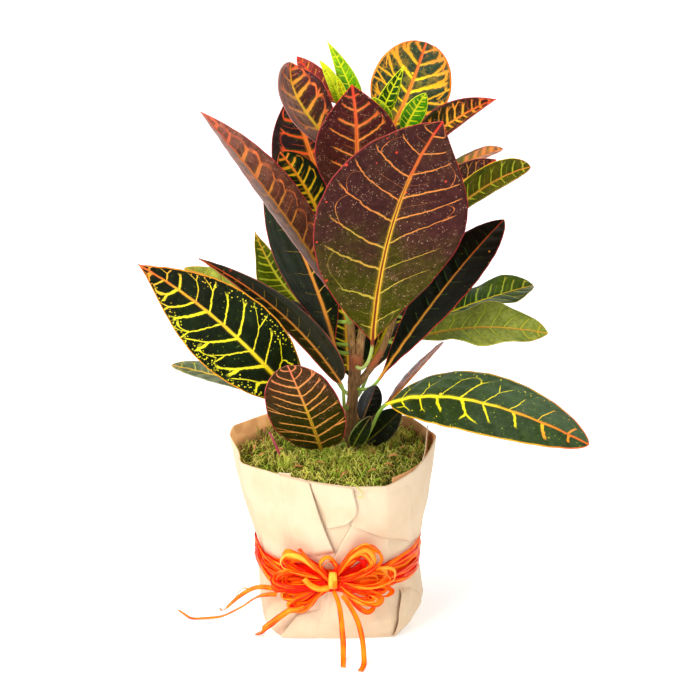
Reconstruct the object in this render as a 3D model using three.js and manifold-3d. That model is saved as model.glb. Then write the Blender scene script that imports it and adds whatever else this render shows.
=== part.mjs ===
// Potted croton in a kraft paper wrap tied with raffia.
// Millimetres, +Z up, front towards -Y. The origin is the middle of the wrap's flat foot,
// on the surface that the pot stands on.
import * as THREE from 'three';
import Module from 'manifold-3d';

const wasm = await Module();
wasm.setup();

// Driving dimensions
const clearance = 0.35;
const paperThickness = 1.2;
const waistRadius = 70;
const waistLow = 50;
const waistHigh = 70;
const bellyHeight = 18;
const potHeight = 134;
const potFootRadius = 49;
const potMouthRadius = 75;
const potWall = 1.4;
const potFloor = 3;
const potLip = 12;
const potLipOut = 1.5;
const soilTop = potHeight;
const mossBase = potHeight + clearance;
const mossTop = 144;
const mossBump = 1.6;
const mossCrown = 5;
const mossInset = 3.4;
const trunkX = 12;
const trunkY = 0;
const trunkFoot = 92;
const trunkRadius = 5.6;
const stemGap = 0.4;
const loopSteps = 12;
const tailSteps = 11;
const blade = 0.8;
const petioleRadius = 1.6;
const bandWidth = 18;
const bandThickness = 1.5;
const raffiaWidth = 4.5;
const raffiaThickness = 1;

const colours = {
  paper: { color: 0xe6cda6, roughness: 0.75 },
  pot: { color: 0x7a3f26, roughness: 0.55 },
  soil: { color: 0x2c1f16, roughness: 1 },
  moss: { color: 0x7f8a35, roughness: 1 },
  raffia: { color: 0xf0560f, roughness: 0.5 },
  bark: { color: 0x6a4b39, roughness: 0.9 },
  stalk: { color: 0xc65a68, roughness: 0.6 },
  dark: { color: 0x1c3a22, roughness: 0.35 },
  maroon: { color: 0x5a2a28, roughness: 0.4 },
  olive: { color: 0x66762c, roughness: 0.4 },
  young: { color: 0x9bc41f, roughness: 0.4 },
  gold: { color: 0xd8962a, roughness: 0.4 },
};

const plant = new THREE.Group();

function addPart(name, geometry, look) {
  geometry.computeVertexNormals();
  const mesh = new THREE.Mesh(geometry, new THREE.MeshStandardMaterial(colours[look]));
  mesh.name = name;
  plant.add(mesh);
}

function indexed(points, triangles) {
  const geometry = new THREE.BufferGeometry();
  const numbers = points.flatMap((p) => [p.x, p.y, p.z]);
  geometry.setAttribute('position', new THREE.Float32BufferAttribute(numbers, 3));
  geometry.setIndex(triangles);
  return geometry;
}

// Skins a row of equal rings into one closed body. A closed loft joins its last ring to
// the first, an open one gets its two ends from endCap.
function loft(rings, { closed = false, endCap = fanCap, flip = () => false } = {}) {
  const count = rings[0].length;
  const points = rings.flat();
  const triangles = [];
  const spans = closed ? rings.length : rings.length - 1;
  for (let i = 0; i < spans; i += 1) {
    const a = i * count;
    const b = ((i + 1) % rings.length) * count;
    for (let j = 0; j < count; j += 1) {
      const k = (j + 1) % count;
      if (flip(j)) {
        triangles.push(a + j, a + k, b + j, a + k, b + k, b + j);
      } else {
        triangles.push(a + j, a + k, b + k, a + j, b + k, b + j);
      }
    }
  }
  if (!closed) {
    const last = (rings.length - 1) * count;
    for (const [p, q, r] of endCap(count)) {
      triangles.push(r, q, p, last + p, last + q, last + r);
    }
  }
  return outward(indexed(points, triangles));
}

function fanCap(count) {
  return Array.from({ length: count - 2 }, (_, i) => [0, i + 1, i + 2]);
}

// Turns every face round if the body is inside out.
function outward(geometry) {
  const p = geometry.getAttribute('position');
  const index = Array.from(geometry.getIndex().array);
  const [a, b, c] = [new THREE.Vector3(), new THREE.Vector3(), new THREE.Vector3()];
  let volume = 0;
  for (let i = 0; i < index.length; i += 3) {
    a.fromBufferAttribute(p, index[i]);
    b.fromBufferAttribute(p, index[i + 1]);
    c.fromBufferAttribute(p, index[i + 2]);
    volume += a.dot(b.cross(c));
  }
  if (volume < 0) {
    for (let i = 0; i < index.length; i += 3) {
      [index[i + 1], index[i + 2]] = [index[i + 2], index[i + 1]];
    }
    geometry.setIndex(index);
  }
  return geometry;
}

function toSolid(geometry) {
  return new wasm.Manifold(new wasm.Mesh({
    numProp: 3,
    vertProperties: new Float32Array(geometry.getAttribute('position').array),
    triVerts: new Uint32Array(geometry.getIndex().array),
  }));
}

function fromSolid(solid) {
  const { vertProperties, triVerts } = solid.getMesh();
  const geometry = new THREE.BufferGeometry();
  geometry.setAttribute('position', new THREE.BufferAttribute(vertProperties, 3));
  geometry.setIndex(new THREE.BufferAttribute(triVerts, 1));
  return geometry;
}

function join(geometries) {
  return fromSolid(geometries.map(toSolid).reduce((sum, next) => sum.add(next)));
}

function vec([x, y, z = 0]) {
  return new THREE.Vector3(x, y, z);
}

// Rings of a round bar along a curve, with its radius as a function of the way along.
function bar(curve, steps, sides, radiusAt, flat = 1) {
  const rings = [];
  const side = new THREE.Vector3(1, 0, 0);
  let before = curve.getTangent(0);
  side.addScaledVector(before, -side.dot(before)).normalize();
  for (let i = 0; i <= steps; i += 1) {
    const t = i / steps;
    const along = curve.getTangent(t);
    side.applyQuaternion(new THREE.Quaternion().setFromUnitVectors(before, along));
    before = along;
    const across = new THREE.Vector3().crossVectors(along, side);
    const centre = curve.getPoint(t);
    const radius = radiusAt(t);
    rings.push(Array.from({ length: sides }, (_, k) => {
      const a = (2 * Math.PI * (k + 0.5)) / sides;
      return centre.clone()
        .addScaledVector(side, radius * Math.cos(a))
        .addScaledVector(across, radius * flat * Math.sin(a));
    }));
  }
  return loft(rings);
}

// Kraft paper wrap: a cup folded from one sheet, creased at each fold, pulled in at the waist.
// Folds run anticlockwise from the right: the rim's corner and the foot's corner.
const folds = [
  { rim: [85, 4, 161], foot: [66, 2] },
  { rim: [81, 24, 158], foot: [60, 24] },
  { rim: [66, 60, 157], foot: [47, 50] },
  { rim: [22, 83, 159], foot: [16, 63] },
  { rim: [-20, 82, 161], foot: [-18, 63] },
  { rim: [-61, 62, 161], foot: [-47, 48] },
  { rim: [-90, 22, 164], foot: [-65, 18] },
  { rim: [-93, 2, 163], foot: [-66, -4] },
  { rim: [-76, -42, 156], foot: [-60, -34] },
  { rim: [-53, -63, 154], foot: [-46, -54] },
  { rim: [-20, -77, 152], foot: [-16, -56] },
  { rim: [12, -87, 151], foot: [14, -56] },
  { rim: [41, -84, 150.5], foot: [46, -53] },
  { rim: [63, -59, 154], foot: [56, -38] },
  { rim: [74, -36, 157], foot: [63, -18] },
];

function wrapOutline(height, inset) {
  const corners = folds.map(({ rim, foot }) => {
    const footPoint = new THREE.Vector2(...foot);
    const rimPoint = new THREE.Vector2(rim[0], rim[1]);
    const waist = footPoint.clone().normalize().lerp(rimPoint.clone().normalize(), 0.5);
    waist.setLength(waistRadius);
    const belly = footPoint.clone().lerp(waist, 0.5).multiplyScalar(1.05 + 0.0008 * footPoint.x);
    let point;
    if (height < bellyHeight) {
      point = footPoint.clone().lerp(belly, Math.sin((Math.PI / 2) * (height / bellyHeight)));
    } else if (height < waistLow) {
      point = belly.clone().lerp(waist, (height - bellyHeight) / (waistLow - bellyHeight));
    } else if (height < waistHigh) {
      point = waist;
    } else {
      const t = (height - waistHigh) / (rim[2] - waistHigh);
      const fullness = 1 + 0.03 * Math.sin(Math.PI * Math.min(t, 1));
      point = waist.clone().lerp(rimPoint, t).multiplyScalar(fullness);
    }
    return point.multiplyScalar((point.length() - inset) / point.length());
  });
  return corners.flatMap((corner, i) => {
    const next = corners[(i + 1) % corners.length];
    const middle = corner.clone().lerp(next, 0.5);
    return [corner, middle.multiplyScalar(1.006)];
  });
}

function rimHeights() {
  return folds.flatMap(({ rim }, i) => {
    const next = folds[(i + 1) % folds.length].rim;
    return [rim[2], (rim[2] + next[2]) / 2];
  });
}

function paperWrap() {
  const rimAt = rimHeights();
  const levels = [0, 6, bellyHeight, waistLow, waistHigh, 105, 135];
  const raised = (p, height) => new THREE.Vector3(p.x, p.y, height);
  const ring = (height, inset) => wrapOutline(height, inset).map((p) => raised(p, height));
  const rimRing = (inset) => rimAt.map((height, i) => raised(wrapOutline(height, inset)[i], height));
  const outside = [...levels.map((height) => ring(height, 0)), rimRing(0)];
  const floorUp = levels.map((height) => Math.max(height, paperThickness));
  const inside = [...floorUp.map((height) => ring(height, paperThickness)), rimRing(paperThickness)];
  return loft([...outside, ...inside.reverse()]);
}

addPart('paper_wrap', paperWrap(), 'paper');

// Nursery pot, standing on the wrap's floor and filled with soil.
const potBase = paperThickness + clearance;
const potSlope = (potMouthRadius - potFootRadius) / (potHeight - potBase);

function turned(profile, segments = 40) {
  const geometry = new THREE.LatheGeometry(profile.map(([r, z]) => new THREE.Vector2(r, z)), segments);
  geometry.rotateX(Math.PI / 2);
  return welded(geometry);
}

// A turned body repeats its seam and its poles, so equal points become one.
function welded(geometry) {
  const p = geometry.getAttribute('position');
  const seen = new Map();
  const points = [];
  const rename = [];
  for (let i = 0; i < p.count; i += 1) {
    const key = [p.getX(i), p.getY(i), p.getZ(i)].map((v) => Math.round(v * 1000)).join();
    if (!seen.has(key)) {
      seen.set(key, points.length);
      points.push(new THREE.Vector3().fromBufferAttribute(p, i));
    }
    rename.push(seen.get(key));
  }
  const old = geometry.getIndex().array;
  const triangles = [];
  for (let i = 0; i < old.length; i += 3) {
    const [a, b, c] = [rename[old[i]], rename[old[i + 1]], rename[old[i + 2]]];
    if (a !== b && b !== c && a !== c) {
      triangles.push(a, b, c);
    }
  }
  return outward(indexed(points, triangles));
}

function potRadius(height) {
  return potFootRadius + potSlope * (height - potBase);
}

addPart('pot', turned([
  [0, potBase],
  [potFootRadius, potBase],
  [potRadius(potHeight - potLip), potHeight - potLip],
  [potRadius(potHeight - potLip) + potLipOut, potHeight - potLip + 1],
  [potMouthRadius + potLipOut, potHeight],
  [potMouthRadius - potWall, potHeight],
  [potRadius(potBase + potFloor) - potWall, potBase + potFloor],
  [0, potBase + potFloor],
]), 'pot');

// Stems. Each shoot is a row of [x, y, z, radius].
const shoots = {
  trunk: [[trunkX, trunkY, trunkFoot, trunkRadius], [trunkX, trunkY, 128, trunkRadius],
    [trunkX, trunkY, 152, 5.4], [11, 0, 172, 5], [13, 0, 200, 4.8], [15, 0, 226, 5.2],
    [16, 0, 236, 4]],
  left: [[14, 1, 224, 3.6], [12, 4, 250, 3.6], [9, 10, 290, 3.4], [8, 16, 340, 3.2],
    [8, 20, 390, 2.8], [9, 20, 436, 2]],
  right: [[17, 0, 224, 3.6], [20, 2, 250, 3.6], [27, 8, 290, 3.4], [36, 12, 340, 3.2],
    [44, 12, 390, 2.8], [46, 10, 424, 2]],
  side: [[13, 0, 205, 3.2], [22, 1, 215, 3.1], [35, 8, 232, 2.8], [46, 16, 256, 2.6],
    [51, 20, 278, 1.8]],
};

function shootCurve(name) {
  return new THREE.CatmullRomCurve3(shoots[name].map(vec), false, 'centripetal');
}

function shootRadius(name, t) {
  const row = shoots[name];
  const at = t * (row.length - 1);
  const i = Math.min(Math.floor(at), row.length - 2);
  return THREE.MathUtils.lerp(row[i][3], row[i + 1][3], at - i);
}

// Leaf scars: small rings swollen out of the shoot.
function scar(name, t) {
  const curve = shootCurve(name);
  const centre = curve.getPoint(t);
  const along = curve.getTangent(t);
  const radius = shootRadius(name, t);
  const [low, high] = [-1.6, 1.6].map((rise) => centre.clone().addScaledVector(along, rise));
  return bar(new THREE.LineCurve3(low, high), 2, 8, (u) => radius * (u === 0.5 ? 1.12 : 0.8));
}

function stem() {
  const bars = Object.keys(shoots).map((name) => (
    bar(shootCurve(name), 12, 8, (t) => shootRadius(name, t))
  ));
  const scars = [0.42, 0.6, 0.74, 0.88].map((t) => scar('trunk', t));
  return join([...bars, ...scars]);
}

addPart('stem', stem(), 'bark');

// Leaf stalk of a fallen leaf, standing in the moss.
const stalkFoot = [-49, -18];
const stalkHole = 2.2;
const stalkBottom = mossBase + 3;

function looseStalk() {
  const curve = new THREE.CatmullRomCurve3([
    [...stalkFoot, stalkBottom],
    [...stalkFoot, 152],
    [-53, -20, 164],
    [-57, -21, 174],
  ].map(vec));
  return bar(curve, 6, 6, (t) => 1.4 - 0.5 * t);
}

addPart('loose_stalk', looseStalk(), 'stalk');

function hole(x, y, radius, low, high) {
  const geometry = new THREE.CylinderGeometry(radius, radius, high - low, 16);
  geometry.rotateX(Math.PI / 2);
  geometry.translate(x, y, (low + high) / 2);
  return toSolid(welded(geometry));
}

function soil() {
  const inner = (height) => potRadius(height) - potWall - clearance;
  const low = potBase + potFloor + clearance;
  const body = turned([[0, low], [inner(low), low], [inner(soilTop), soilTop], [0, soilTop]]);
  const trunkHole = hole(trunkX, trunkY, trunkRadius + stemGap, trunkFoot - stemGap, soilTop + 1);
  return fromSolid(toSolid(body).subtract(trunkHole));
}

addPart('soil', soil(), 'soil');

// Moss: a springy cushion from the soil up, over the pot's lip and out to the paper.
function mossHeight(x, y) {
  const bumps = Math.sin(x * 0.21 + 1.3) * Math.cos(y * 0.24)
    + 0.7 * Math.sin(x * 0.37 - y * 0.29 + 0.6);
  const crown = mossCrown * (1 - (x * x + y * y) / 7000);
  return mossTop + crown + mossBump * bumps;
}

function moss() {
  const rings = [];
  const outline = wrapOutline(mossTop, mossInset);
  const floorOutline = wrapOutline(mossBase, mossInset);
  const at = (points, scale, heightAt) => points.map((p) => {
    const x = trunkX + (p.x - trunkX) * scale;
    const y = trunkY + (p.y - trunkY) * scale;
    return new THREE.Vector3(x, y, heightAt(x, y));
  });
  const middle = 0.08;
  rings.push(at(floorOutline, middle, () => mossBase));
  rings.push(at(floorOutline, 1, () => mossBase));
  rings.push(at(outline, 1, (x, y) => mossHeight(x, y) - mossCrown));
  for (const scale of [0.92, 0.72, 0.5, 0.28, middle]) {
    rings.push(at(outline, scale, mossHeight));
  }
  const cushion = toSolid(loft(rings));
  const holes = [[trunkX, trunkY, trunkRadius + stemGap], [...stalkFoot, stalkHole]];
  return fromSolid(holes.reduce(
    (solid, [x, y, radius]) => solid.subtract(hole(x, y, radius, mossBase - 1, mossTop + 20)),
    cushion,
  ));
}

addPart('moss', moss(), 'moss');

// Leaves. A blade follows its midrib from base through middle to tip. It has its full width,
// two exponents that round its base end and its tip end, the way its upper face looks,
// the fold of its halves in degrees, and the wave of its edge as [height, waves, phase].
const leaves = [
  // Shown at the front
  { name: 'front_big', look: 'maroon', on: 'trunk', height: 226,
    base: [29, -32, 256], middle: [45, -62, 367], tip: [82, -70, 447],
    width: 125, ends: [1.15, 1.05], face: [0.2, -0.95, -0.25], fold: 12, skew: -0.1 },
  { name: 'front_second', look: 'maroon', on: 'left', height: 350,
    base: [12, -12, 360], middle: [16, -22, 415], tip: [12, -16, 466],
    width: 70, ends: [1.1, 1.1], face: [0.2, -1, 0], fold: 4 },
  { name: 'front_low', look: 'maroon', on: 'trunk', height: 156,
    base: [-14, -12, 156], middle: [-26, -36, 201], tip: [-40, -54, 244],
    width: 64, ends: [0.45, 0.45], face: [-0.1, -0.9, -0.2], fold: 8, wave: [1.5, 2, 0.1] },
  // Top of the left shoot
  { name: 'top_left', look: 'maroon', on: 'left', height: 396,
    base: [8, 6, 402], middle: [-29, 4, 446], tip: [-37, 18, 478],
    width: 50, ends: [1, 0.85], face: [0.35, -0.9, 0.2], fold: 40, skew: 0.05 },
  { name: 'top_left_narrow', look: 'maroon', on: 'left', height: 428,
    base: [2, 30, 442], middle: [-16, 34, 460], tip: [-33, 42, 479],
    width: 20, ends: [0.9, 0.85], face: [0.35, -0.85, 0.45], fold: 10, steps: 6 },
  { name: 'new_yellow', look: 'young', on: 'left', height: 430,
    base: [15, 14, 440], middle: [8, 16, 465], tip: [-8, 20, 495],
    width: 17, ends: [0.5, 1], face: [0.1, -1, 0.2], fold: 12, steps: 7 },
  { name: 'new_yellow_small', look: 'young', on: 'left', height: 424,
    base: [4, 12, 440], middle: [-3, 8, 463], tip: [-14, 10, 481],
    width: 11, ends: [0.6, 0.9], face: [0.4, -1, 0.1], fold: 12, steps: 6 },
  { name: 'new_bud', look: 'young', on: 'left', height: 434,
    base: [8, 9, 443], middle: [5, 6, 456], tip: [0, 5, 469],
    width: 9, ends: [0.6, 0.8], face: [-0.2, -1, 0.1], fold: 40, steps: 6 },
  { name: 'back_left', look: 'maroon', on: 'left', height: 344,
    base: [-9, 27, 362], middle: [-24, 31, 406], tip: [-39, 36, 448],
    width: 65, ends: [0.7, 0.9], face: [0.1, -1, 0.15], fold: 8 },
  // Top of the right shoot
  { name: 'top_right', look: 'gold', on: 'right', height: 416,
    base: [45, 24, 423], middle: [59, 38, 451], tip: [74, 66, 487],
    width: 66, ends: [0.6, 0.5], face: [0.1, -0.8, 0.55], fold: 6 },
  { name: 'new_dark', look: 'young', on: 'right', height: 420,
    base: [35, 4, 437], middle: [43, 2, 456], tip: [54, 4, 478],
    width: 15, ends: [0.5, 1], face: [0, -1, 0], fold: 15, steps: 6 },
  { name: 'new_green', look: 'young', on: 'right', height: 414,
    base: [54, 0, 425], middle: [61, -6, 441], tip: [71, -10, 458],
    width: 19, ends: [0.75, 0.7], face: [0, -1, -0.3], fold: 16, steps: 6 },
  { name: 'new_curled', look: 'young', on: 'right', height: 418,
    base: [42, -2, 430], middle: [37, -8, 443], tip: [28, -8, 454],
    width: 12, ends: [0.6, 0.7], face: [0.1, -1, 0.2], fold: 35, steps: 6 },
  { name: 'right_upper', look: 'maroon', on: 'right', height: 400,
    base: [68, 10, 410], middle: [96, 0, 435], tip: [127, -10, 453],
    width: 34, ends: [0.5, 1], face: [-0.6, -0.6, 0.5], fold: 28 },
  // Right side
  { name: 'right_pink', look: 'gold', on: 'right', height: 370,
    base: [68, 42, 374], middle: [112, 48, 391], tip: [139, 54, 400],
    width: 30, ends: [1.2, 0.7], face: [-0.3, -0.1, 0.95], fold: 10 },
  { name: 'right_brown', look: 'maroon', on: 'right', height: 342,
    base: [62, 19, 352], middle: [104, 18, 380], tip: [131, 19, 398],
    width: 36, ends: [0.8, 1], face: [-0.45, -0.5, 0.75], fold: 8 },
  { name: 'right_olive', look: 'olive', on: 'right', height: 314,
    base: [64, 6, 324], middle: [112, -4, 374], tip: [156, -14, 399],
    width: 32, ends: [1, 0.6], face: [-0.6, -0.6, 0.55], fold: 30, skew: 0.08 },
  { name: 'right_dark', look: 'dark', on: 'trunk', height: 206,
    base: [36, -14, 220], middle: [90, -6, 297], tip: [139, 24, 346],
    width: 47, ends: [1.1, 0.8], face: [-0.45, -0.65, 0.6], fold: 8 },
  { name: 'right_wavy', look: 'olive', on: 'side', height: 264,
    base: [76, 44, 249], middle: [121, 59, 264], tip: [170, 70, 276],
    width: 62, ends: [1.1, 0.55], face: [-0.25, -0.1, 0.95], fold: 8, wave: [3, 2, 0.2] },
  { name: 'right_wavy_low', look: 'olive', on: 'side', height: 244,
    base: [64, 14, 244], middle: [117, 10, 256], tip: [177, 6, 252],
    width: 52, ends: [1.3, 0.85], face: [-0.15, -0.4, 0.9], fold: 10, wave: [3, 2.5, 0.4] },
  { name: 'right_low', look: 'dark', on: 'trunk', height: 160,
    base: [44, -24, 201], middle: [112, -60, 215], tip: [202, -90, 189],
    width: 62, ends: [0.65, 0.62], face: [-0.2, -0.5, 0.85], fold: -6, skew: -0.06 },
  { name: 'edge_red', look: 'maroon', on: 'trunk', height: 184,
    base: [42, 12, 188], middle: [69, 30, 212], tip: [92, 52, 230],
    width: 30, ends: [0.85, 0.8], face: [-0.7, 0.15, 0.6], fold: 16 },
  // Left side
  { name: 'left_big', look: 'dark', on: 'trunk', height: 178,
    base: [-31, -16, 196], middle: [-94, -36, 274], tip: [-159, -50, 328],
    width: 74, ends: [0.85, 1.2], face: [0.05, -0.95, -0.2], fold: 4 },
  { name: 'left_under', look: 'olive', on: 'trunk', height: 172,
    base: [-32, 18, 185], middle: [-88, 42, 197], tip: [-146, 60, 206],
    width: 31, ends: [1, 0.65], face: [0.15, -0.25, 0.95], fold: 12 },
  { name: 'left_mid', look: 'maroon', on: 'trunk', height: 188,
    base: [2, -16, 217], middle: [-48, -14, 277], tip: [-114, -4, 320],
    width: 35, ends: [0.45, 1], face: [0.3, -0.9, 0.3], fold: 50, skew: 0.1 },
  { name: 'left_pale', look: 'olive', on: 'left', height: 243,
    base: [-28, 25, 250], middle: [-74, 24, 281], tip: [-129, 24, 304],
    width: 24, ends: [0.9, 0.7], face: [0.1, -0.6, 0.8], fold: 10 },
  { name: 'left_small', look: 'olive', on: 'left', height: 262,
    base: [-35, 36, 274], middle: [-53, 34, 298], tip: [-69, 30, 334],
    width: 38, ends: [0.65, 1.2], face: [-0.4, -0.85, -0.3], fold: 14, wave: [2, 2, 0] },
  { name: 'left_dark', look: 'dark', on: 'left', height: 236,
    base: [-2, 9, 239], middle: [-26, 6, 314], tip: [-61, 17, 384],
    width: 48, ends: [1.3, 1.05], face: [0.2, -1, 0.1], fold: 12 },
  { name: 'left_long', look: 'maroon', on: 'left', height: 262,
    base: [6, -14, 278], middle: [-42, -50, 368], tip: [-103, -80, 456],
    width: 44, ends: [1.1, 1], face: [0.8, -0.55, 0.25], fold: 26, skew: 0.08 },
  { name: 'left_inner', look: 'dark', on: 'left', height: 328,
    base: [-9, 4, 339], middle: [-24, -2, 376], tip: [-46, -4, 409],
    width: 34, ends: [1.1, 0.7], face: [0.35, -0.95, 0.1], fold: 8 },
  // Low round the trunk
  { name: 'behind_trunk', look: 'dark', on: 'trunk', height: 204,
    base: [11, 22, 213], middle: [8, 40, 245], tip: [2, 62, 300],
    width: 56, ends: [0.8, 0.7], face: [0.1, -1, 0.2], fold: 8 },
  { name: 'trunk_side', look: 'dark', on: 'trunk', height: 168,
    base: [21, -13, 181], middle: [27, -16, 199], tip: [33, -14, 213],
    width: 20, ends: [0.7, 0.7], face: [0.2, -1, 0.1], fold: 12, steps: 7 },
  { name: 'moss_side_dark', look: 'dark', on: 'trunk', height: 154,
    base: [24, 4, 155], middle: [39, -2, 171], tip: [54, -4, 188],
    width: 26, ends: [0.7, 0.7], face: [-0.5, -1, 0.3], fold: 20, steps: 7 },
  { name: 'moss_side_green', look: 'dark', on: 'trunk', height: 153,
    base: [13, -13, 158], middle: [19, -24, 174], tip: [28, -26, 190],
    width: 16, ends: [0.7, 0.7], face: [0.1, -1, 0.1], fold: 20, steps: 7 },
  // At the back
  { name: 'back_low_right', look: 'dark', on: 'trunk', height: 194,
    base: [27, 26, 212], middle: [54, 72, 260], tip: [78, 128, 286],
    width: 58, ends: [0.8, 0.8], face: [-0.3, -0.6, 0.8], fold: 10 },
  { name: 'back_low_left', look: 'dark', on: 'trunk', height: 198,
    base: [-4, 26, 212], middle: [-26, 70, 254], tip: [-46, 122, 280],
    width: 54, ends: [0.8, 0.8], face: [0.3, -0.6, 0.8], fold: 10 },
  { name: 'back_low', look: 'dark', on: 'trunk', height: 186,
    base: [12, 34, 203], middle: [12, 88, 236], tip: [10, 146, 256],
    width: 56, ends: [0.8, 0.8], face: [0, -0.6, 0.8], fold: 10 },
  { name: 'back_middle', look: 'dark', on: 'left', height: 276,
    base: [2, 36, 292], middle: [-10, 84, 334], tip: [-24, 136, 356],
    width: 58, ends: [0.8, 0.8], face: [0.1, -0.6, 0.8], fold: 10 },
  { name: 'back_middle_right', look: 'maroon', on: 'right', height: 284,
    base: [42, 32, 298], middle: [64, 76, 334], tip: [86, 124, 352],
    width: 58, ends: [0.8, 0.8], face: [-0.2, -0.6, 0.8], fold: 10 },
  { name: 'back_upper_left', look: 'maroon', on: 'left', height: 312,
    base: [-6, 36, 326], middle: [-30, 70, 362], tip: [-52, 106, 380],
    width: 50, ends: [0.8, 0.8], face: [0.2, -0.6, 0.8], fold: 10 },
  { name: 'back_centre', look: 'dark', on: 'right', height: 330,
    base: [30, 36, 344], middle: [26, 84, 384], tip: [20, 132, 404],
    width: 56, ends: [0.8, 0.8], face: [0, -0.6, 0.8], fold: 10 },
  { name: 'back_high', look: 'maroon', on: 'left', height: 366,
    base: [-2, 42, 378], middle: [-14, 74, 406], tip: [-28, 106, 420],
    width: 50, ends: [0.8, 0.8], face: [0.1, -0.6, 0.8], fold: 10 },
  { name: 'back_high_right', look: 'maroon', on: 'right', height: 384,
    base: [50, 38, 396], middle: [60, 72, 420], tip: [70, 104, 430],
    width: 48, ends: [0.8, 0.8], face: [-0.1, -0.6, 0.8], fold: 10 },
];

function halfWidth(leaf, u) {
  const [atBase, atTip] = leaf.ends;
  const widest = atBase / (atBase + atTip);
  return (leaf.width / 2) * (u / widest) ** atBase * ((1 - u) / (1 - widest)) ** atTip;
}

function midrib(leaf) {
  const [base, middle, tip] = [vec(leaf.base), vec(leaf.middle), vec(leaf.tip)];
  const control = middle.multiplyScalar(2).addScaledVector(base, -0.5).addScaledVector(tip, -0.5);
  return new THREE.QuadraticBezierCurve3(base, control, tip);
}

// The point of a shoot's surface that a leaf stalk grows from, and the way it grows.
function stalkRoot(leaf) {
  const curve = shootCurve(leaf.on);
  let t = 0;
  while (t < 1 && curve.getPoint(t).z < leaf.height) {
    t += 0.005;
  }
  const centre = curve.getPoint(Math.min(t, 1));
  const along = curve.getTangent(Math.min(t, 1));
  const out = vec(leaf.base).sub(centre);
  out.addScaledVector(along, -out.dot(along)).normalize();
  return { point: centre.addScaledVector(out, shootRadius(leaf.on, Math.min(t, 1)) + clearance), out };
}

const across = 4;
const stalkSteps = 3;

function leafBlade(leaf) {
  const rib = midrib(leaf);
  const steps = leaf.steps ?? 9;
  const root = stalkRoot(leaf);
  const start = rib.getPoint(0);
  const reach = start.distanceTo(root.point);
  const stalk = new THREE.CubicBezierCurve3(
    root.point,
    root.point.clone().addScaledVector(root.out, reach * 0.4),
    start.clone().addScaledVector(rib.getTangent(0), -reach * 0.4),
    start,
  );
  const rings = [];
  let along = rib.getTangent(0);
  let side = new THREE.Vector3().crossVectors(along, vec(leaf.face)).normalize();
  for (let i = stalkSteps - 1; i >= 0; i -= 1) {
    const t = i / stalkSteps;
    const next = stalk.getTangent(t);
    side = side.clone().applyQuaternion(new THREE.Quaternion().setFromUnitVectors(along, next));
    along = next;
    rings.unshift(roundRing(stalk.getPoint(t), along, side, petioleRadius));
  }
  for (let i = 0; i <= steps; i += 1) {
    const u = 0.015 + 0.97 * (0.5 - 0.5 * Math.cos((Math.PI * i) / steps));
    rings.push(bladeRing(leaf, rib, u));
  }
  return loft(rings, { endCap: stripCap, flip: (j) => j > across });
}

function ringSide(j) {
  const top = j <= across;
  return { top, v: top ? -1 + (2 * j) / across : 1 - (2 * (j - across - 1)) / across };
}

function roundRing(centre, along, side, radius) {
  const normal = new THREE.Vector3().crossVectors(side, along);
  return Array.from({ length: 2 * across + 2 }, (_, j) => {
    const { top, v } = ringSide(j);
    const a = v * 0.85 * (Math.PI / 2);
    return centre.clone()
      .addScaledVector(side, radius * Math.sin(a))
      .addScaledVector(normal, (top ? 1 : -1) * radius * Math.cos(a));
  });
}

function bladeRing(leaf, rib, u) {
  const along = rib.getTangent(u);
  const side = new THREE.Vector3().crossVectors(along, vec(leaf.face)).normalize();
  const normal = new THREE.Vector3().crossVectors(side, along);
  const half = Math.max(halfWidth(leaf, u), petioleRadius * (u < 0.5 ? 1 : 0.4));
  const fold = THREE.MathUtils.degToRad(leaf.fold);
  const [waveHeight, waves, phase] = leaf.wave ?? [0, 1, 0];
  const centre = rib.getPoint(u);
  const skew = leaf.skew ?? 0;
  return Array.from({ length: 2 * across + 2 }, (_, j) => {
    const { top, v } = ringSide(j);
    const wave = waveHeight * Math.abs(v) ** 1.5 * Math.sqrt(Math.sin(Math.PI * u))
      * Math.sin(2 * Math.PI * (waves * u + phase) + (v > 0 ? 0 : 2.1));
    const lift = Math.abs(v) * half * Math.sin(fold) + wave;
    const ridge = v === 0 && !top ? 0.9 * (1 - u) : 0;
    return centre.clone()
      .addScaledVector(side, v * half * (1 + Math.sign(v) * skew) * Math.cos(fold))
      .addScaledVector(normal, lift + (top ? blade / 2 : -blade / 2 - ridge));
  });
}

function stripCap() {
  const last = 2 * across + 1;
  return Array.from({ length: across }, (_, j) => [
    [j, j + 1, last - j - 1],
    [j, last - j - 1, last - j],
  ]).flat();
}

for (const leaf of leaves) {
  addPart(`leaf_${leaf.name}`, leafBlade(leaf), leaf.look);
}

// Raffia band round the waist of the wrap.
function raffiaBand() {
  const low = (waistLow + waistHigh - bandWidth) / 2;
  const inner = wrapOutline(waistLow, -clearance);
  const outer = wrapOutline(waistLow, -clearance - bandThickness);
  return loft(inner.map((p, i) => [
    new THREE.Vector3(p.x, p.y, low),
    new THREE.Vector3(outer[i].x, outer[i].y, low),
    new THREE.Vector3(outer[i].x, outer[i].y, low + bandWidth),
    new THREE.Vector3(p.x, p.y, low + bandWidth),
  ]), { closed: true });
}

addPart('raffia_band', raffiaBand(), 'raffia');

// A place on the front of the wrap: how far round from the middle, how high, and how far out.
function onFront(round, height, out) {
  const radius = waistRadius + clearance + 0.25 * Math.max(0, height - waistHigh)
    + 0.1 * Math.max(0, waistLow - height) + out;
  const angle = round / waistRadius;
  return new THREE.Vector3(radius * Math.sin(angle), -radius * Math.cos(angle), height);
}

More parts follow.
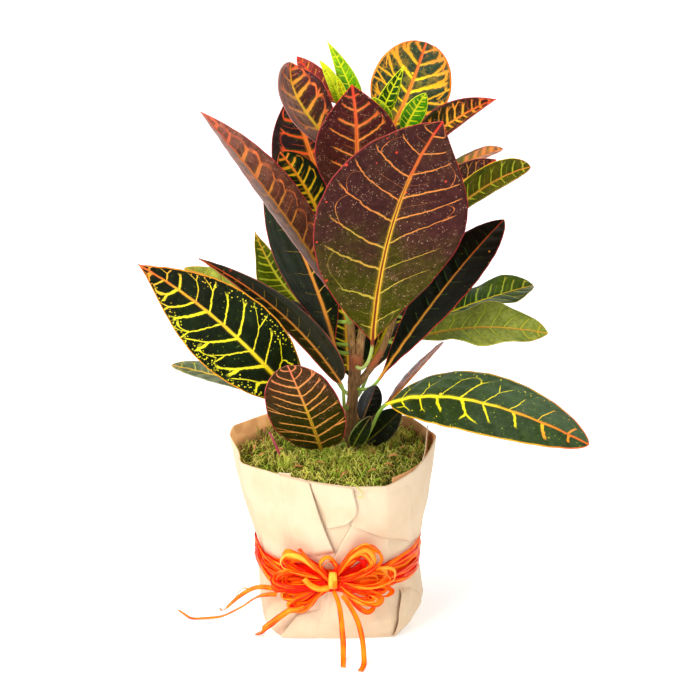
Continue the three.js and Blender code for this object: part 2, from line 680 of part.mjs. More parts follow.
// Bow: loops of raffia drawn through a knot at the middle of the front. Each loop leaves the
// knot at an angle in degrees from the right, and has a length, a spread across, and the
// distance that its middle stands out from the paper.
const knotRound = -4;
const knotHeight = 67;
const knotRadius = 5.4;
const chordDip = 1.5;
const loops = [
  { angle: 42, length: 48, spread: 22, out: 15 },
  { angle: 24, length: 50, spread: 22, out: 20 },
  { angle: 9, length: 50, spread: 12, out: 13 },
  { angle: 4, length: 76, spread: 18, out: 7 },
  { angle: -22, length: 48, spread: 18, out: 16 },
  { angle: -44, length: 40, spread: 14, out: 18 },
  { angle: 150, length: 46, spread: 16, out: 12 },
  { angle: 167, length: 50, spread: 20, out: 18 },
  { angle: 187, length: 56, spread: 16, out: 10 },
  { angle: 207, length: 50, spread: 16, out: 15 },
  { angle: 226, length: 42, spread: 14, out: 17 },
];

function ribbonLoop({ angle, length, spread, out }) {
  const heading = THREE.MathUtils.degToRad(angle);
  const place = (t) => {
    const ahead = length * Math.sin(Math.PI * t) ** 0.8;
    const beside = (spread / 2) * Math.sin(2 * Math.PI * t);
    const start = bandThickness + knotRadius;
    return onFront(
      knotRound + ahead * Math.cos(heading) - beside * Math.sin(heading),
      knotHeight + ahead * Math.sin(heading) + beside * Math.cos(heading),
      start + (out - start) * Math.sin(Math.PI * t) + 2 * t,
    );
  };
  const rings = [];
  for (let i = 0; i <= loopSteps; i += 1) {
    const t = 0.02 + (0.96 * i) / loopSteps;
    const centre = place(t);
    const along = place(t + 0.01).sub(place(t - 0.01)).normalize();
    const wide = new THREE.Vector3(centre.x, centre.y, 0);
    wide.addScaledVector(along, -along.dot(wide)).normalize();
    const thin = new THREE.Vector3().crossVectors(along, wide);
    rings.push([[1, 1], [-1, 1], [-1, -1], [1, -1]].map(([a, b]) => centre.clone()
      .addScaledVector(wide, (a * raffiaWidth) / 2)
      .addScaledVector(thin, (b * raffiaThickness) / 2)));
  }
  return loft(rings);
}

function raffiaBow() {
  const out = bandThickness + clearance + knotRadius - chordDip;
  const line = new THREE.CatmullRomCurve3([-10, 0, 9].map((rise) => (
    onFront(knotRound, knotHeight + rise, out)
  )));
  const knot = bar(line, 4, 10, (t) => 4 + (knotRadius - 4) * Math.sin(Math.PI * t));
  return join([knot, ...loops.map(ribbonLoop)]);
}

addPart('raffia_bow', raffiaBow(), 'raffia');

// Tails of the raffia: they hang from the bow, then lie on the surface.
const tails = [
  [[-3, -79.5, 55.5], [1, -86, 48], [3, -90, 38], [4, -92, 27], [5, -93, 14], [5, -95, 4],
    [5, -101, 1.2], [5, -110, 1.2]],
  [[4, -85.9, 54.3], [8, -88, 50], [14, -92, 41], [18, -95, 32], [21, -98, 19], [22, -100, 8],
    [22, -105, 1.6], [19, -117, 1.2]],
  [[-27.4, -81.6, 41.9], [-34, -77, 37], [-40, -72, 34], [-48, -67, 26], [-56, -62, 17],
    [-62, -57, 10], [-66, -53, 4], [-69, -49, 1.4]],
  [[-50.6, -64.5, 45.3], [-57.7, -57.6, 42], [-66, -50, 37], [-73, -41, 29], [-81, -34, 20],
    [-90, -28, 12], [-101, -22, 4], [-115, -20, 1.4], [-127, -20, 1.2], [-134, -12, 1.2],
    [-140, -4, 1.2]],
  [[-54, -63, 50], [-62, -56, 48], [-70, -47, 43], [-79, -37, 34], [-88, -28, 23], [-95, -18, 12],
    [-101, -9, 3.4], [-104, -1, 1.4]],
];

function tail(points) {
  const curve = new THREE.CatmullRomCurve3(points.map(vec), false, 'centripetal');
  return bar(curve, tailSteps, 8, () => raffiaWidth / 2, 0.5);
}

tails.forEach((points, i) => addPart(`raffia_tail_${i + 1}`, tail(points), 'raffia'));

export default plant;
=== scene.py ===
# Potted croton in a kraft paper wrap tied with raffia, dressed on its CAD frame.
# Metres, +Z up, the bow faces -Y. Sizes in the dictionaries are millimetres.
import math
import random

import bmesh
import bpy
from mathutils import Matrix, Vector, noise
from mathutils.bvhtree import BVHTree


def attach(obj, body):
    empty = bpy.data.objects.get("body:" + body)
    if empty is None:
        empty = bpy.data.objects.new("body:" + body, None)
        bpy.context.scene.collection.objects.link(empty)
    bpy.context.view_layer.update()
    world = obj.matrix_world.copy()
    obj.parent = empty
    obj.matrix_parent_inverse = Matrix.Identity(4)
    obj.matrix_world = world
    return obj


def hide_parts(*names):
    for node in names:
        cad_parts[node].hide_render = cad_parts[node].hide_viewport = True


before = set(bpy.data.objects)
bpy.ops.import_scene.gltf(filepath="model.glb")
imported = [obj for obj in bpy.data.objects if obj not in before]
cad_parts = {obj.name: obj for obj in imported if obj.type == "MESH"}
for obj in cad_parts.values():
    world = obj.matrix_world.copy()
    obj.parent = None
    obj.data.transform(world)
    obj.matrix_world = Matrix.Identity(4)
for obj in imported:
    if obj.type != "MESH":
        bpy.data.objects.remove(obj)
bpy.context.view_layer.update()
mm = 0.001
up = Vector((0, 0, 1))
fullTurn = 2 * math.pi
print("frame loaded:", len(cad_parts), "nodes")

# The eye looks down on the pot from the front
camera = {"place": (0.0106, -1.451, 0.711), "tilt": 72.0, "lens": 93.5, "sensor": 36.0, "pixels": 700}


def makeCamera():
    data = bpy.data.cameras.new("camera")
    data.lens = camera["lens"]
    data.sensor_width = camera["sensor"]
    eye = bpy.data.objects.new("camera", data)
    eye.location = camera["place"]
    eye.rotation_euler = (math.radians(camera["tilt"]), 0, 0)
    bpy.context.scene.collection.objects.link(eye)
    bpy.context.scene.camera = eye


def sightLine(px, py):
    # the way the eye looks through a pixel of its square picture
    spread = camera["sensor"] / camera["lens"] / camera["pixels"]
    middle = camera["pixels"] / 2
    line = Vector(((px - middle) * spread, (middle - py) * spread, -1))
    return (Matrix.Rotation(math.radians(camera["tilt"]), 3, "X") @ line).normalized()


makeCamera()


# Small helps for shapes

def blendValue(a, b, t):
    return a + (b - a) * t


def smoothStep(value, low, high):
    t = min(max((value - low) / (high - low), 0.0), 1.0)
    return t * t * (3 - 2 * t)


def outward(angle):
    return Vector((math.cos(angle), math.sin(angle), 0))


def points(rows):
    return [Vector(row) * mm for row in rows]


def throughPoints(row, t):
    # a centripetal curve through all the points, as the frame's own curves run
    spans = len(row) - 1
    at = min(max(t, 0.0), 1.0) * spans
    i = min(int(at), spans - 1)
    w = at - i
    before = row[i - 1] if i > 0 else row[0] * 2 - row[1]
    after = row[i + 2] if i + 2 <= spans else row[-1] * 2 - row[-2]
    p = [before, row[i], row[i + 1], after]
    gap = [max((p[k + 1] - p[k]).length, 1e-9) ** 0.5 for k in range(3)]
    leave = (p[1] - p[0]) / gap[0] - (p[2] - p[0]) / (gap[0] + gap[1]) + (p[2] - p[1]) / gap[1]
    reach = (p[2] - p[1]) / gap[1] - (p[3] - p[1]) / (gap[1] + gap[2]) + (p[3] - p[2]) / gap[2]
    m1, m2 = leave * gap[1], reach * gap[1]
    bend = (p[2] - p[1]) * 3 - m1 * 2 - m2
    ease = (p[1] - p[2]) * 2 + m1 + m2
    return p[1] + m1 * w + bend * w * w + ease * w * w * w


def evenPath(row, count):
    return [throughPoints(row, i / (count - 1)) for i in range(count)]


def pathLength(row):
    return sum((b - a).length for a, b in zip(row, row[1:]))


def wayAlong(path, i):
    return (path[min(i + 1, len(path) - 1)] - path[max(i - 1, 0)]).normalized()


def gridSheet(bm, across, along):
    # the vertices of a flat grid, each with its place from 0 to 1 both ways
    for vert in bmesh.ops.create_grid(bm, x_segments=across, y_segments=along, size=1.0)["verts"]:
        yield vert, (vert.co.x + 1) / 2, (vert.co.y + 1) / 2


def extrudeRing(bm, ring):
    # a new ring joined to this one, its vertices in the same order
    edges = [bm.edges.get((ring[k - 1], ring[k])) for k in range(1, len(ring))]
    edges.append(bm.edges.get((ring[-1], ring[0])))
    made = bmesh.ops.extrude_edge_only(bm, edges=edges)["geom"]
    fresh = {v for v in made if isinstance(v, bmesh.types.BMVert)}
    return [next(e.other_vert(v) for e in v.link_edges if e.other_vert(v) in fresh) for v in ring]


def sweep(bm, path, radiusAt, sides=10, startSide=(1, 0, 0), mark=None):
    # a round bar along a path, turned as little as the path allows and closed at both ends,
    # with mark(vert, t) called for each vertex
    first = ring = bmesh.ops.create_circle(bm, segments=sides, radius=1.0)["verts"]
    circle = [outward(fullTurn * k / sides) for k in range(sides)]
    side = Vector(startSide)
    for i, point in enumerate(path):
        t = i / (len(path) - 1)
        ahead = wayAlong(path, i)
        side = (side - ahead * side.dot(ahead)).normalized()
        if i:
            ring = extrudeRing(bm, ring)
        across = ahead.cross(side)
        for vert, spot in zip(ring, circle):
            radius = radiusAt(t, math.atan2(spot.y, spot.x))
            vert.co = point + (side * spot.x + across * spot.y) * radius
            if mark:
                mark(vert, t)
    bmesh.ops.contextual_create(bm, geom=first)
    bmesh.ops.contextual_create(bm, geom=ring)


def thickenSheet(bm, thickness, way=None):
    # turns the sheet's faces to way, if it is given, and thickens it; the vertices that were there
    bmesh.ops.recalc_face_normals(bm, faces=bm.faces[:])
    if way and sum(f.normal.dot(way(f)) for f in bm.faces) < 0:
        bmesh.ops.reverse_faces(bm, faces=bm.faces[:])
    first = set(bm.verts)
    bmesh.ops.solidify(bm, geom=bm.faces[:], thickness=thickness * mm)
    return first


def finishPiece(name, bm, material, replaced=None):
    bmesh.ops.recalc_face_normals(bm, faces=bm.faces[:])
    mesh = bpy.data.meshes.new(name)
    bm.to_mesh(mesh)
    bm.free()
    mesh.shade_smooth()
    mesh.materials.append(material)
    piece = bpy.data.objects.new(name, mesh)
    bpy.context.scene.collection.objects.link(piece)
    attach(piece, "root")
    if replaced:
        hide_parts(replaced)
    return piece


def treeOf(node):
    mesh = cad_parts[node].data
    return BVHTree.FromPolygons([v.co for v in mesh.vertices], [tuple(p.vertices) for p in mesh.polygons])


# Small helps for materials

def paint(code):
    # a colour as it is seen, "#rrggbb", in the renderer's linear numbers
    parts = [int(code[i:i + 2], 16) / 255 for i in (1, 3, 5)]
    return tuple(c / 12.92 if c <= 0.04045 else ((c + 0.055) / 1.055) ** 2.4 for c in parts)


class Painter:
    # makes the nodes of one shader tree and joins them

    def __init__(self, tree):
        self.tree = tree

    def feed(self, socket, value):
        if isinstance(value, bpy.types.NodeSocket):
            self.tree.links.new(value, socket)
        elif socket.type == "RGBA" and len(value) == 3:
            socket.default_value = (*value, 1.0)
        else:
            socket.default_value = value

    def node(self, kind, values=(), **settings):
        # values go to the node's inputs in their order, or by title or place from a dictionary
        made = self.tree.nodes.new("ShaderNode" + kind)
        for name, value in settings.items():
            setattr(made, name, value)
        for key, value in values.items() if isinstance(values, dict) else enumerate(values):
            self.feed(made.inputs[key], value)
        return made

    def calc(self, operation, a, b=0.0, clamp=False):
        return self.node("Math", (a, b), operation=operation, use_clamp=clamp).outputs[0]

    def chain(self, operation, values):
        result = values[0]
        for value in values[1:]:
            result = self.calc(operation, result, value)
        return result

    def times(self, *values):
        return self.chain("MULTIPLY", values)

    def plus(self, *values):
        return self.chain("ADD", values)

    def less(self, *values):
        return self.chain("SUBTRACT", values)

    def most(self, *values):
        return self.chain("MAXIMUM", values)

    def size(self, value):
        return self.calc("ABSOLUTE", value)

    def ease(self, value, low, high, start=0.0, end=1.0):
        made = self.node("MapRange", (value, low, high, start, end), interpolation_type="SMOOTHSTEP")
        return made.outputs[0]

    def mix(self, amount, a, b, kind="MIX"):
        return self.node("Mix", {0: amount, 6: a, 7: b}, data_type="RGBA", blend_type=kind).outputs[2]

    def noise(self, place, scale, detail=2.0, rough=0.5):
        values = {"Vector": place, "Scale": scale, "Detail": detail, "Roughness": rough}
        return self.node("TexNoise", values).outputs["Fac"]

    def cells(self, place, scale, feature="F1"):
        return self.node("TexVoronoi", {"Vector": place, "Scale": scale}, feature=feature).outputs

    def vector(self, x, y, z):
        return self.node("CombineXYZ", (x, y, z)).outputs[0]

    def parts(self, value):
        return self.node("SeparateXYZ", (value,)).outputs

    def attribute(self, name):
        return self.parts(self.node("Attribute", attribute_name=name).outputs["Vector"])

    def objectPlace(self):
        return self.node("TexCoord").outputs["Object"]

    def group(self, tree, values):
        return self.node("Group", values, node_tree=tree).outputs


class Material(Painter):
    # a material with its main shader

    def __init__(self, name):
        self.material = bpy.data.materials.new(name)
        self.material.use_nodes = True
        super().__init__(self.material.node_tree)

    def give(self, title, value):
        self.feed(self.tree.nodes["Principled BSDF"].inputs[title], value)

    def bump(self, height, strength, distance):
        values = {"Strength": strength, "Distance": distance, "Height": height}
        self.give("Normal", self.node("Bump", values).outputs["Normal"])


def startGroup(name, inputs, outputs):
    tree = bpy.data.node_groups.new(name, "ShaderNodeTree")
    for title, value in inputs.items():
        kind = "NodeSocketFloat" if isinstance(value, float) else "NodeSocketColor"
        socket = tree.interface.new_socket(title, in_out="INPUT", socket_type=kind)
        socket.default_value = value if isinstance(value, float) else (*value, 1.0)
    for title, kind in outputs.items():
        tree.interface.new_socket(title, in_out="OUTPUT", socket_type="NodeSocket" + kind)
    source = tree.nodes.new("NodeGroupInput").outputs
    return Painter(tree), source, tree.nodes.new("NodeGroupOutput").inputs


# Grain: fine noise in two sizes for colour, roughness and relief
def makeGrainGroup():
    inputs = {"Colour": (0.5, 0.5, 0.5), "Other": (0.3, 0.3, 0.3), "Scale": 100.0, "Contrast": 0.5}
    p, given, out = startGroup("grain", inputs, {"Colour": "Color", "Height": "Float"})
    where = p.objectPlace()
    broad = p.noise(where, given["Scale"], 4.0, 0.6)
    fine = p.noise(where, p.times(given["Scale"], 7.0), 3.0, 0.6)
    both = p.plus(p.times(broad, 0.6), p.times(fine, 0.4))
    amount = p.times(p.ease(both, 0.35, 0.65), given["Contrast"])
    p.feed(out["Colour"], p.mix(amount, given["Colour"], given["Other"]))
    p.feed(out["Height"], both)
    return p.tree


grainGroup = makeGrainGroup()


def grainMaterial(name, colour, other, scale, rough, relief):
    # rough is one value, or a pair for the grain's low and high places; relief is strength and depth
    m = Material(name)
    grain = m.group(grainGroup, {"Colour": paint(colour), "Other": paint(other), "Scale": scale})
    m.give("Base Color", grain["Colour"])
    m.give("Roughness", m.ease(grain["Height"], 0.3, 0.7, *rough) if isinstance(rough, tuple) else rough)
    m.bump(grain["Height"], *relief)
    return m.material


# Raffia: long shining ribbons of palm fibre, orange, painted deeper red as shade where they fold away or lie
# deep in the bow, with painted yellow highlights on streaks and on the knot and a faint painted glow as if
# light shone through
raffia = {
    "width": 4.5,
    "thickness": 0.28,
    "colour": "#ff8600",
    "deep": "#ee1200",
    "light": "#ffca48",
    "paintedGlow": 0.1,
}


def makeRaffiaMaterial():
    m = Material("raffia")
    strand = m.attribute("strandPlace")
    streakPlace = m.vector(m.times(strand[0], 1300.0), m.times(strand[1], 32.0), m.times(strand[2], 7.3))
    streak = m.noise(streakPlace, 1.0, 3.0, 0.6)
    patchPlace = m.vector(m.times(strand[1], 90.0), m.times(strand[2], 3.1), 0.0)
    patchy = m.noise(patchPlace, 1.0, 2.0)
    vary = m.times(m.less(streak, 0.5), 2.2)
    # depth is how far each spot is painted into the deep red shade: the strand's tone, shifted by its streaks
    # and patches
    depth = m.plus(m.attribute("strandTone")[0], vary)
    depth = m.plus(depth, m.times(m.less(patchy, 0.5), 0.9))
    tone = m.mix(m.ease(depth, 0.0, 0.8), paint(raffia["colour"]), paint(raffia["deep"]))
    # painted yellow highlights on the lighter streaks, and all over where the tone is below 0, as on the knot
    bright = m.times(m.ease(streak, 0.55, 0.72), m.ease(depth, 0.35, 0.0))
    bright = m.most(bright, m.ease(depth, -0.05, -0.6))
    tone = m.mix(m.times(bright, 0.85), tone, paint(raffia["light"]))
    m.give("Base Color", tone)
    m.give("Roughness", m.ease(streak, 0.2, 0.8, 0.5, 0.34))
    m.give("Specular IOR Level", 0.2)
    # a faint painted glow in the strand's own colour, as if light shone through it
    m.give("Emission Color", tone)
    m.give("Emission Strength", raffia["paintedGlow"])
    m.bump(streak, 0.7, 0.0004)
    return m.material


raffiaMaterial = makeRaffiaMaterial()


def startStrands():
    bm = bmesh.new()
    bm.verts.layers.float_vector.new("strandPlace")
    bm.verts.layers.float.new("strandTone")
    return bm


def ribbon(bm, path, faceAt, widthAt, curl, seed, columns, toneAt):
    # a flat strip along a path, its face turned to faceAt(t), cupped by curl
    place = bm.verts.layers.float_vector["strandPlace"]
    tone = bm.verts.layers.float["strandTone"]
    last = len(path) - 1
    travelled = [0.0]
    for a, b in zip(path, path[1:]):
        travelled.append(travelled[-1] + (b - a).length)
    for vert in bmesh.ops.create_grid(bm, x_segments=columns, y_segments=last, size=1.0)["verts"]:
        x = vert.co.x
        i = round((vert.co.y + 1) / 2 * last)
        t = i / last
        ahead = wayAlong(path, i)
        face = faceAt(t)
        face = (face - ahead * face.dot(ahead)).normalized()
        wide = ahead.cross(face)
        half = widthAt(t) / 2
        vert.co = path[i] + wide * x * half - face * curl * half * (x * x - 0.4)
        vert[place] = (x * half, travelled[i], seed)
        # the tone deepens towards both edges of the strip
        vert[tone] = toneAt(t) + 0.4 * abs(x) ** 3


def thickenStrands(bm, deeper):
    # the new inner side of each strip is toned deeper, as painted shade
    tone = bm.verts.layers.float["strandTone"]
    outer = set(bm.verts)
    bmesh.ops.solidify(bm, geom=bm.faces[:], thickness=raffia["thickness"] * mm)
    for vert in bm.verts:
        if vert not in outer:
            vert[tone] = min(vert[tone] + deeper, 1.0)


# Raffia tails: cords with an end of their own, laid as the frame's tails are
tails = {
    "raffia_tail_1": {
        "route": [(-3, -79.5, 55.5), (1, -86, 48), (3, -90, 38), (4, -92, 27), (5, -93, 14),
                  (5, -95, 4), (5, -101, 1.2), (5, -110, 1.2)],
        "face": (0.2, -1, 0.15), "width": (3.4, 4.7, 4.2), "turn": 10,
    },
    "raffia_tail_2": {
        "route": [(4, -85.9, 54.3), (8, -88, 50), (14, -92, 41), (18, -95, 32), (21, -98, 19),
                  (22, -100, 8), (22, -105, 1.6), (19, -117, 1.2)],
        "face": (-0.2, -1, 0.2), "width": (3.2, 4.4, 4.4), "turn": -25,
    },
    "raffia_tail_3": {
        "route": [(-27.4, -81.6, 41.9), (-34, -77, 37), (-40, -72, 34), (-48, -67, 26),
                  (-56, -62, 17), (-62, -57, 10), (-66, -53, 4), (-69, -49, 1.4)],
        "face": (-0.2, -1, 0.5), "width": (3.8, 5.2, 6.2), "turn": 5,
    },
    "raffia_tail_4": {
        "route": [(-50.6, -64.5, 45.3), (-57.7, -57.6, 42), (-66, -50, 37), (-73, -41, 29),
                  (-81, -34, 20), (-90, -28, 12), (-101, -22, 4), (-115, -20, 1.4),
                  (-127, -20, 1.2), (-134, -12, 1.2), (-140, -4, 1.2)],
        "face": (-0.3, -0.8, 0.9), "width": (4.2, 3.6, 1.6), "turn": 30,
    },
    "raffia_tail_5": {
        "route": [(-54, -63, 50), (-62, -56, 48), (-70, -47, 43), (-79, -37, 34), (-88, -28, 23),
                  (-95, -18, 12), (-101, -9, 3.4), (-104, -1, 1.4)],
        "face": (-0.3, -0.8, 0.9), "width": (4.2, 3.4, 1.4), "turn": -30,
    },
}


def makeTail(name, tail, seed):
    last = 63
    row = points(tail["route"])
    path = evenPath(row, last + 1)
    start, middle, end = (w * mm for w in tail["width"])
    lean = math.radians(tail["turn"])

    def width(t):
        swell = 1 + 0.05 * noise.noise(Vector((t * 9, seed, 0.3)))
        return swell * (blendValue(start, middle, t * 2) if t < 0.5 else blendValue(middle, end, t * 2 - 1))

    def face(t):
        i = round(t * last)
        lying = smoothStep(path[i].z, 0.012, 0.003)
        out = Vector(tail["face"]).normalized().lerp(up, lying * 0.7)
        return Matrix.Rotation(lean * math.sin(3 * t) * (1 - lying), 3, wayAlong(path, i)) @ out

    bm = startStrands()
    ribbon(bm, path, face, width, 0.14, seed, 6, lambda t: 0.2 * math.sin(9 * t) ** 2)
    thickenStrands(bm, 0.05)
    piece = finishPiece(name + "_strand", bm, raffiaMaterial, name)


for seed, (name, tail) in enumerate(tails.items()):
    makeTail(name, tail, seed + 0.5)
print("raffia tails hang")

# What a leaf is painted with: colours as seen, lines in millimetres, and shares from 0 to 1.
# Each part of a look gives its values in this order.
lookParts = {
    "blade": ("Blade", "Blade Tip", "Turn"), "patch": ("Patch", "Patch Amount"),
    "vein": ("Vein", "Vein End", "Vein Tip", "Vein Turn"),
    "line": ("Vein Width", "Reach", "Slim", "Wobble", "Bias"), "fork": ("Fork", "Fork At"),
    "loops": ("Loops", "Loop At"), "minor": ("Minor",), "net": ("Net", "Blotch", "Edge Dots"),
    "halo": ("Halo", "Halo Colour"), "midrib": ("Midrib", "Midrib Tip", "Midrib Width"),
    "core": ("Core Amount", "Core", "Core End"), "margin": ("Margin", "Margin Width"),
    "speck": ("Speck Amount", "Speck"), "spot": ("Spot Amount", "Spot"), "under": ("Under",),
    "stalk": ("Stalk",), "film": ("Painted Sheen Amount", "Painted Sheen", "Painted Sheen Side"),
}


def look(base, **changes):
    # a look like the base, with the parts that are given changed
    result = dict(base)
    for part, values in changes.items():
        values = values if isinstance(values, tuple) else (values,)
        result.update({title: v for title, v in zip(lookParts[part], values) if v is not None})
    return result


def painted(values):
    return {title: paint(v) if isinstance(v, str) else v for title, v in values.items()}


maroonLook = look(
    {},
    blade=("#46211a", "#4c2022", 0.5), patch=("#2c2c0c", 0.3), vein=("#f08a30", "#d8842a", "#e04a28"),
    line=(0.95, 0.8, 0.55, 0.1), fork=(0.7, 0.6), loops=(0.3, 0.68), minor=0.35, net=(0.0, 0.0, 0.0),
    halo=(0.55, "#7c6a1c"), midrib=("#f09a30", "#dc3a22", 3.0), core=(0.3, "#8c2a1c", 0.7),
    margin=("#b02830", 0.5), speck=(0.24, "#d8a684"), spot=(0.03, "#e0402a"), under="#7c5046",
    stalk="#9cb048", film=(0.0, "#a08078", 1.0),
)
darkLook = look(
    maroonLook,
    blade=("#101d08", "#141f0f"), patch=("#1d3310", 0.4), vein=("#f6e010", "#d8dc1a", "#f08a24"), loops=0.2,
    halo=(0.4, "#6c9410"), midrib=("#f8e218", "#ec7022"), core=(0.2, "#c8a020"), margin="#e0a020",
    speck=(0.05, "#b8c42a"), spot=(0.015, "#f0d020"), under="#5a6650", stalk="#8fae44",
)
oliveLook = look(
    maroonLook,
    blade=("#47540e", "#565a14"), patch=("#33450c", 0.55), vein=("#b4bc30", "#98a42c", "#b0a030"), line=0.8,
    fork=0.5, loops=0.15, halo=(0.5, "#7c8c1c"), midrib=("#dccb3a", "#d8a030"), core=0.0, margin="#c8a02c",
    speck=0.03, spot=0.0, under="#8a9058", stalk="#8fae44",
)
youngLook = look(
    oliveLook,
    blade=("#66aa06", "#93c80a"), patch=("#428c04", 0.6), vein=("#e2ec14", "#dcea12", "#e4e818"), line=0.6,
    loops=0.4, halo=(None, "#bcd810"), midrib=("#eef01c", "#e8ec18", 1.6), margin="#e6ea20", under="#b0cc2c",
)
goldLook = look(
    darkLook,
    blade=("#20300a", "#3a3a0c"), vein=("#f8bc10", "#f2a012", "#f0882a"), line=(1.8, None, 0.1),
    halo=(0.6, "#e8b010"), midrib=("#f08a20", "#ea5c22"), margin="#ec8a1e", under="#d0905c",
)


# Leaf pattern: midrib, side veins with forks and loops, margin, specks and soft mottling, with painted shade
# beside the veins and a painted sheen on one half
def makeLeafGroup():
    inputs = {**painted(maroonLook), "Vein Turn": 0.8, "Bias": 0.0, "Seed": 0.0}
    outputs = {"Colour": "Color", "Roughness": "Float", "Height": "Float"}
    p, given, out = startGroup("leafPattern", inputs, outputs)
    times, plus, less, most, size = p.times, p.plus, p.less, p.most, p.size
    ease, mix, noiseAt, calc = p.ease, p.mix, p.noise, p.calc
    across, along, half = p.attribute("bladePlace")
    phase, pitch, under = p.attribute("veinPlace")

    def inMm(value):
        return times(value, mm)

    def line(distance, width, soft=0.68):
        # 1 on a line of this half width, 0 past it
        return ease(distance, times(width, soft), times(width, 1.08), 1.0, 0.0)

    def dice(x, y, z):
        # three random numbers from 0 to 1 for a place
        return p.parts(p.node("TexWhiteNoise", {"Vector": p.vector(x, y, z)}).outputs["Color"])

    offset = p.vector(given["Seed"], times(given["Seed"], 2.3), 0.0)
    here = p.node("VectorMath", (p.objectPlace(), offset), operation="ADD").outputs[0]
    sideSign = calc("SIGN", across)
    side = size(across)
    fromRib = times(side, half)
    fromEdge = times(less(1.0, side), half)

    # side veins
    sway = times(less(noiseAt(here, 55.0, 2.0), 0.5), given["Wobble"], 2.2)
    tremble = times(less(noiseAt(here, 240.0, 2.0, 0.6), 0.5), given["Wobble"], 0.85)
    count = plus(phase, plus(sway, tremble))
    cell = calc("ROUND", count)
    apart = less(count, cell)
    first, second, third = dice(cell, sideSign, given["Seed"])
    forkFrom = plus(given["Fork At"], times(less(first, 0.5), 0.3))
    spread = times(most(less(side, forkFrom), 0.0), given["Fork"], plus(0.5, second))
    distance = times(size(less(size(apart), spread)), pitch)
    ragged = plus(0.45, times(noiseAt(here, 330.0, 3.0, 0.65), 1.1))
    width = times(inMm(given["Vein Width"]), less(1.0, times(side, given["Slim"])), ragged)
    width = times(width, plus(0.6, times(third, 0.7)), plus(1.0, times(sideSign, given["Bias"])))
    reach = times(given["Reach"], plus(0.78, times(second, 0.36)))
    fade = ease(side, less(reach, 0.1), plus(reach, 0.05), 1.0, 0.0)
    core = times(line(distance, width), fade)
    halo = times(line(distance, times(width, 2.4), 0.2), fade, given["Halo"])

    # loops that join each vein's end to the next
    between = calc("FRACT", count)
    gapCell = calc("FLOOR", count)
    fourth, fifth, sixth = dice(gapCell, sideSign, plus(given["Seed"], 5.0))
    arch = calc("SINE", times(between, 3.1416))
    loopSide = plus(plus(given["Loop At"], times(less(fifth, 0.5), 0.12)), times(arch, 0.13))
    loopGap = times(size(less(side, loopSide)), half)
    some = calc("LESS_THAN", fourth, given["Loops"])
    partly = ease(between, times(sixth, 0.7), plus(times(sixth, 0.7), 0.15), 1.0, 0.35)
    loops = times(line(loopGap, times(width, 0.85)), some, partly)

    # thinner veins between, and the net among them
    middle = times(less(0.5, size(apart)), pitch)
    minorFade = times(
        ease(side, times(fourth, 0.55), plus(times(fourth, 0.55), 0.2), 1.0, 0.0),
        given["Minor"], ease(first, 0.3, 0.5),
    )
    minor = times(line(middle, times(width, 0.6), 0.3), minorFade)
    netPlace = p.vector(times(count, 1.7), times(side, 5.5), given["Seed"])
    cells = p.cells(netPlace, 1.0, "DISTANCE_TO_EDGE")
    patches = ease(noiseAt(here, 75.0, 1.0), 0.47, 0.56)
    netFade = times(given["Net"], ease(side, 0.3, 0.55), patches)
    net = times(ease(cells["Distance"], 0.03, 0.08, 1.0, 0.0), netFade)
    blotch = times(ease(noiseAt(here, 95.0, 3.0, 0.6), 0.54, 0.58), given["Blotch"])
    edgeCells = p.cells(here, 470.0)
    edgeDraw = p.parts(edgeCells["Color"])
    crowd = times(given["Edge Dots"], ease(side, 0.55, 0.98), ease(across, -0.2, 0.2, 1.0, 0.45))
    dotEdge = plus(edgeCells["Distance"], times(less(noiseAt(here, 900.0, 3.0, 0.7), 0.5), 0.9))
    edgeDots = times(
        ease(dotEdge, 0.22, 0.34, 1.0, 0.0),
        calc("LESS_THAN", edgeDraw[0], times(crowd, plus(0.3, times(noiseAt(here, 70.0), 1.6)))),
    )
    veins = calc("MAXIMUM", most(core, loops, minor), most(net, blotch, edgeDots), clamp=True)

    # blade
    mottle = noiseAt(here, 45.0, 4.0, 0.6)
    turnAt = plus(along, times(less(mottle, 0.5), 0.6))
    turned = ease(turnAt, less(given["Turn"], 0.2), plus(given["Turn"], 0.2))
    colour = mix(turned, given["Blade"], given["Blade Tip"])
    patchy = times(ease(noiseAt(here, 38.0, 2.0), 0.45, 0.62), given["Patch Amount"])
    colour = mix(patchy, colour, given["Patch"])
    # the blade's colour is multiplied by fine grain and by painted shade in the grooves beside each vein
    fineShade = noiseAt(here, 260.0, 5.0, 0.78)
    besideVein = ease(times(size(apart), pitch), 0.0, 0.003, 0.8, 1.04)
    shade = times(ease(fineShade, 0.3, 0.7, 0.66, 1.3), besideVein)
    tint = p.node("CombineColor", (shade, shade, shade)).outputs[0]
    colour = mix(1.0, colour, tint, "MULTIPLY")

    # specks in clusters, and a few larger spots
    dots = p.cells(here, 900.0)
    draws = p.parts(dots["Color"])
    cluster = ease(noiseAt(here, 130.0, 3.0), 0.42, 0.62, 0.1, 1.7)
    chosen = calc("LESS_THAN", draws[0], times(given["Speck Amount"], cluster))
    speckSize = plus(0.14, times(draws[2], 0.34))
    smear = plus(dots["Distance"], times(less(noiseAt(here, 1500.0, 2.0), 0.5), 0.5))
    dot = times(line(smear, speckSize, 0.5), chosen, plus(0.25, times(draws[1], 0.75)))
    colour = mix(dot, colour, given["Speck"])
    large = p.cells(here, 130.0)
    drawsLarge = p.parts(large["Color"])
    spotEdge = plus(0.1, times(drawsLarge[1], 0.12))
    spotGap = plus(large["Distance"], times(less(fineShade, 0.5), 0.16))
    spot = times(line(spotGap, spotEdge), calc("LESS_THAN", drawsLarge[0], given["Spot Amount"]))
    colour = mix(spot, colour, given["Spot"])

